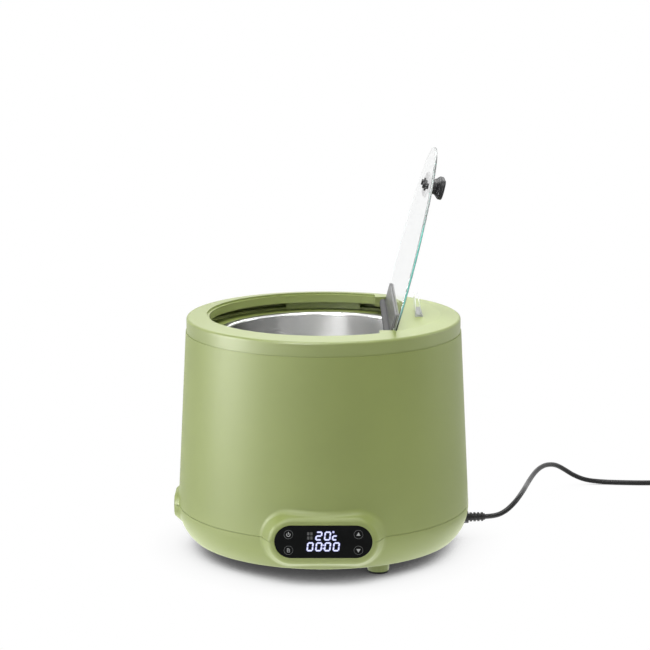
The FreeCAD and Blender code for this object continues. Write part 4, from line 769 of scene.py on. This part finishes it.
# Each lamp's name, place, aim, size and power
SOFT_LAMPS = [
    ("left_lamp", (-1.5, -0.2, 0.42), (0, 0, 0.1), (0.7, 1.4), 15),
    ("top_lamp", (0, -0.3, 2.0), (0, 0, 0.2), (1.6, 1.2), 40),
    ("back_lamp", (0, 2.2, 1.75), (0, 0, 0.28), (2.4, 0.8), 20),
    ("front_lamp", (-0.55, -2.35, 1.7), (0, 0, 0.15), (0.8, 0.8), 8),
    ("right_lamp", (1.7, 0.3, 0.6), (0, 0, 0.1), (0.4, 1.2), 4),
]
GLOSS_LAMPS = [
    ("left_strip", (-1.45, -0.4, 0.26), (0, 0, 0.1), (1.0, 0.5), 17),
    ("front_strip", (-1.0, -1.15, 0.26), (0, 0, 0.1), (0.8, 0.5), 3),
    ("pot_streak", (-0.76, -2.0, 1.37), (0, 0, 0.25), (0.65, 0.8), 36),
    ("floor_sheen", (0, 0, 2 * MM), (0, 0, 1), (0.5, 0.5), 1.9),
]
CAMERA_PLACE = (0.0018, -2.537, 0.7686)
CAMERA_TILT = math.radians(78.95)
CAMERA_LENS = 118.7


def white_for_eye(tree, lit, white):
    """Shows one shader to the camera, mirrors and glass, and the other to the rest."""
    path = tree.nodes.new("ShaderNodeLightPath")
    seen = maths(tree, "MAXIMUM", path.outputs["Is Camera Ray"], path.outputs["Is Glossy Ray"])
    seen = maths(tree, "MAXIMUM", seen, path.outputs["Is Transmission Ray"])
    mix = tree.nodes.new("ShaderNodeMixShader")
    tree.links.new(seen, mix.inputs["Fac"])
    tree.links.new(lit, mix.inputs[1])
    tree.links.new(white, mix.inputs[2])
    return mix.outputs["Shader"]


def studio_floor():
    """A pale floor with a painted shadow under the part, by how much sky it sees, and white further out."""
    bpy.ops.mesh.primitive_plane_add(size=FLOOR_SIZE, location=FLOOR_PLACE)
    floor = bpy.context.active_object
    floor.name = "studio_floor"
    material, tree, shader = start_material("floor_white_painted_shadow")
    tree.nodes.remove(shader)
    diffuse = put(tree.nodes.new("ShaderNodeBsdfDiffuse"), Color=FLOOR_TONE)
    near = put(tree.nodes.new("ShaderNodeAmbientOcclusion"), Distance=SHADE_REACH)
    near.samples = 16
    stops = [(openness, (tone, tone, tone)) for openness, tone in FLOOR_PAINTED_SHADOW]
    # painted shadow: the emission that the camera, mirrors and glass see darkens where the part hides the
    # sky
    glow = tree.nodes.new("ShaderNodeEmission")
    feed(tree, ramp(tree, near.outputs["AO"], stops), glow, "Color")
    surface = white_for_eye(tree, diffuse.outputs["BSDF"], glow.outputs["Emission"])
    feed(tree, surface, tree.nodes["Material Output"], "Surface")
    floor.data.materials.append(material)


def studio_world():
    """A soft sky that looks plain white."""
    world = bpy.data.worlds.new("studio")
    bpy.context.scene.world = world
    world.use_nodes = True
    tree = world.node_tree
    tree.nodes.clear()
    soft = put(tree.nodes.new("ShaderNodeBackground"), Color=WHITE, Strength=SKY_LIGHT)
    white = put(tree.nodes.new("ShaderNodeBackground"), Color=WHITE, Strength=SKY_SEEN)
    output = tree.nodes.new("ShaderNodeOutputWorld")
    surface = white_for_eye(tree, soft.outputs["Background"], white.outputs["Background"])
    feed(tree, surface, output, "Surface")


def soft_lamp(name, place, aim, size, power):
    """A rectangular soft lamp that faces a point."""
    bpy.ops.object.light_add(type="AREA", location=place)
    lamp = bpy.context.active_object
    lamp.name = name
    lamp.data.shape = "RECTANGLE"
    lamp.data.size, lamp.data.size_y = size
    lamp.data.energy = power
    lamp.rotation_euler = (Vector(aim) - Vector(place)).to_track_quat("-Z", "Y").to_euler()
    return lamp


def lamps():
    """Soft light from above and the sides, and lamps that only show in the gloss."""
    for values in SOFT_LAMPS:
        soft_lamp(*values)
    for values in GLOSS_LAMPS:
        lamp = soft_lamp(*values)
        lamp.visible_diffuse = False
        lamp.visible_camera = False


def photo_camera():
    """The photograph's view."""
    bpy.ops.object.camera_add(location=CAMERA_PLACE, rotation=(CAMERA_TILT, 0, 0))
    camera = bpy.context.active_object
    camera.name = "photo_camera"
    camera.data.sensor_width = 36
    camera.data.lens = CAMERA_LENS
    camera.data.clip_end = 200
    bpy.context.scene.camera = camera


looks = finishes()
dress_nodes(looks)
mains_lead(looks["cord_sheath"])
display_marks()
studio_floor()
studio_world()
lamps()
photo_camera()

bpy.context.view_layer.update()
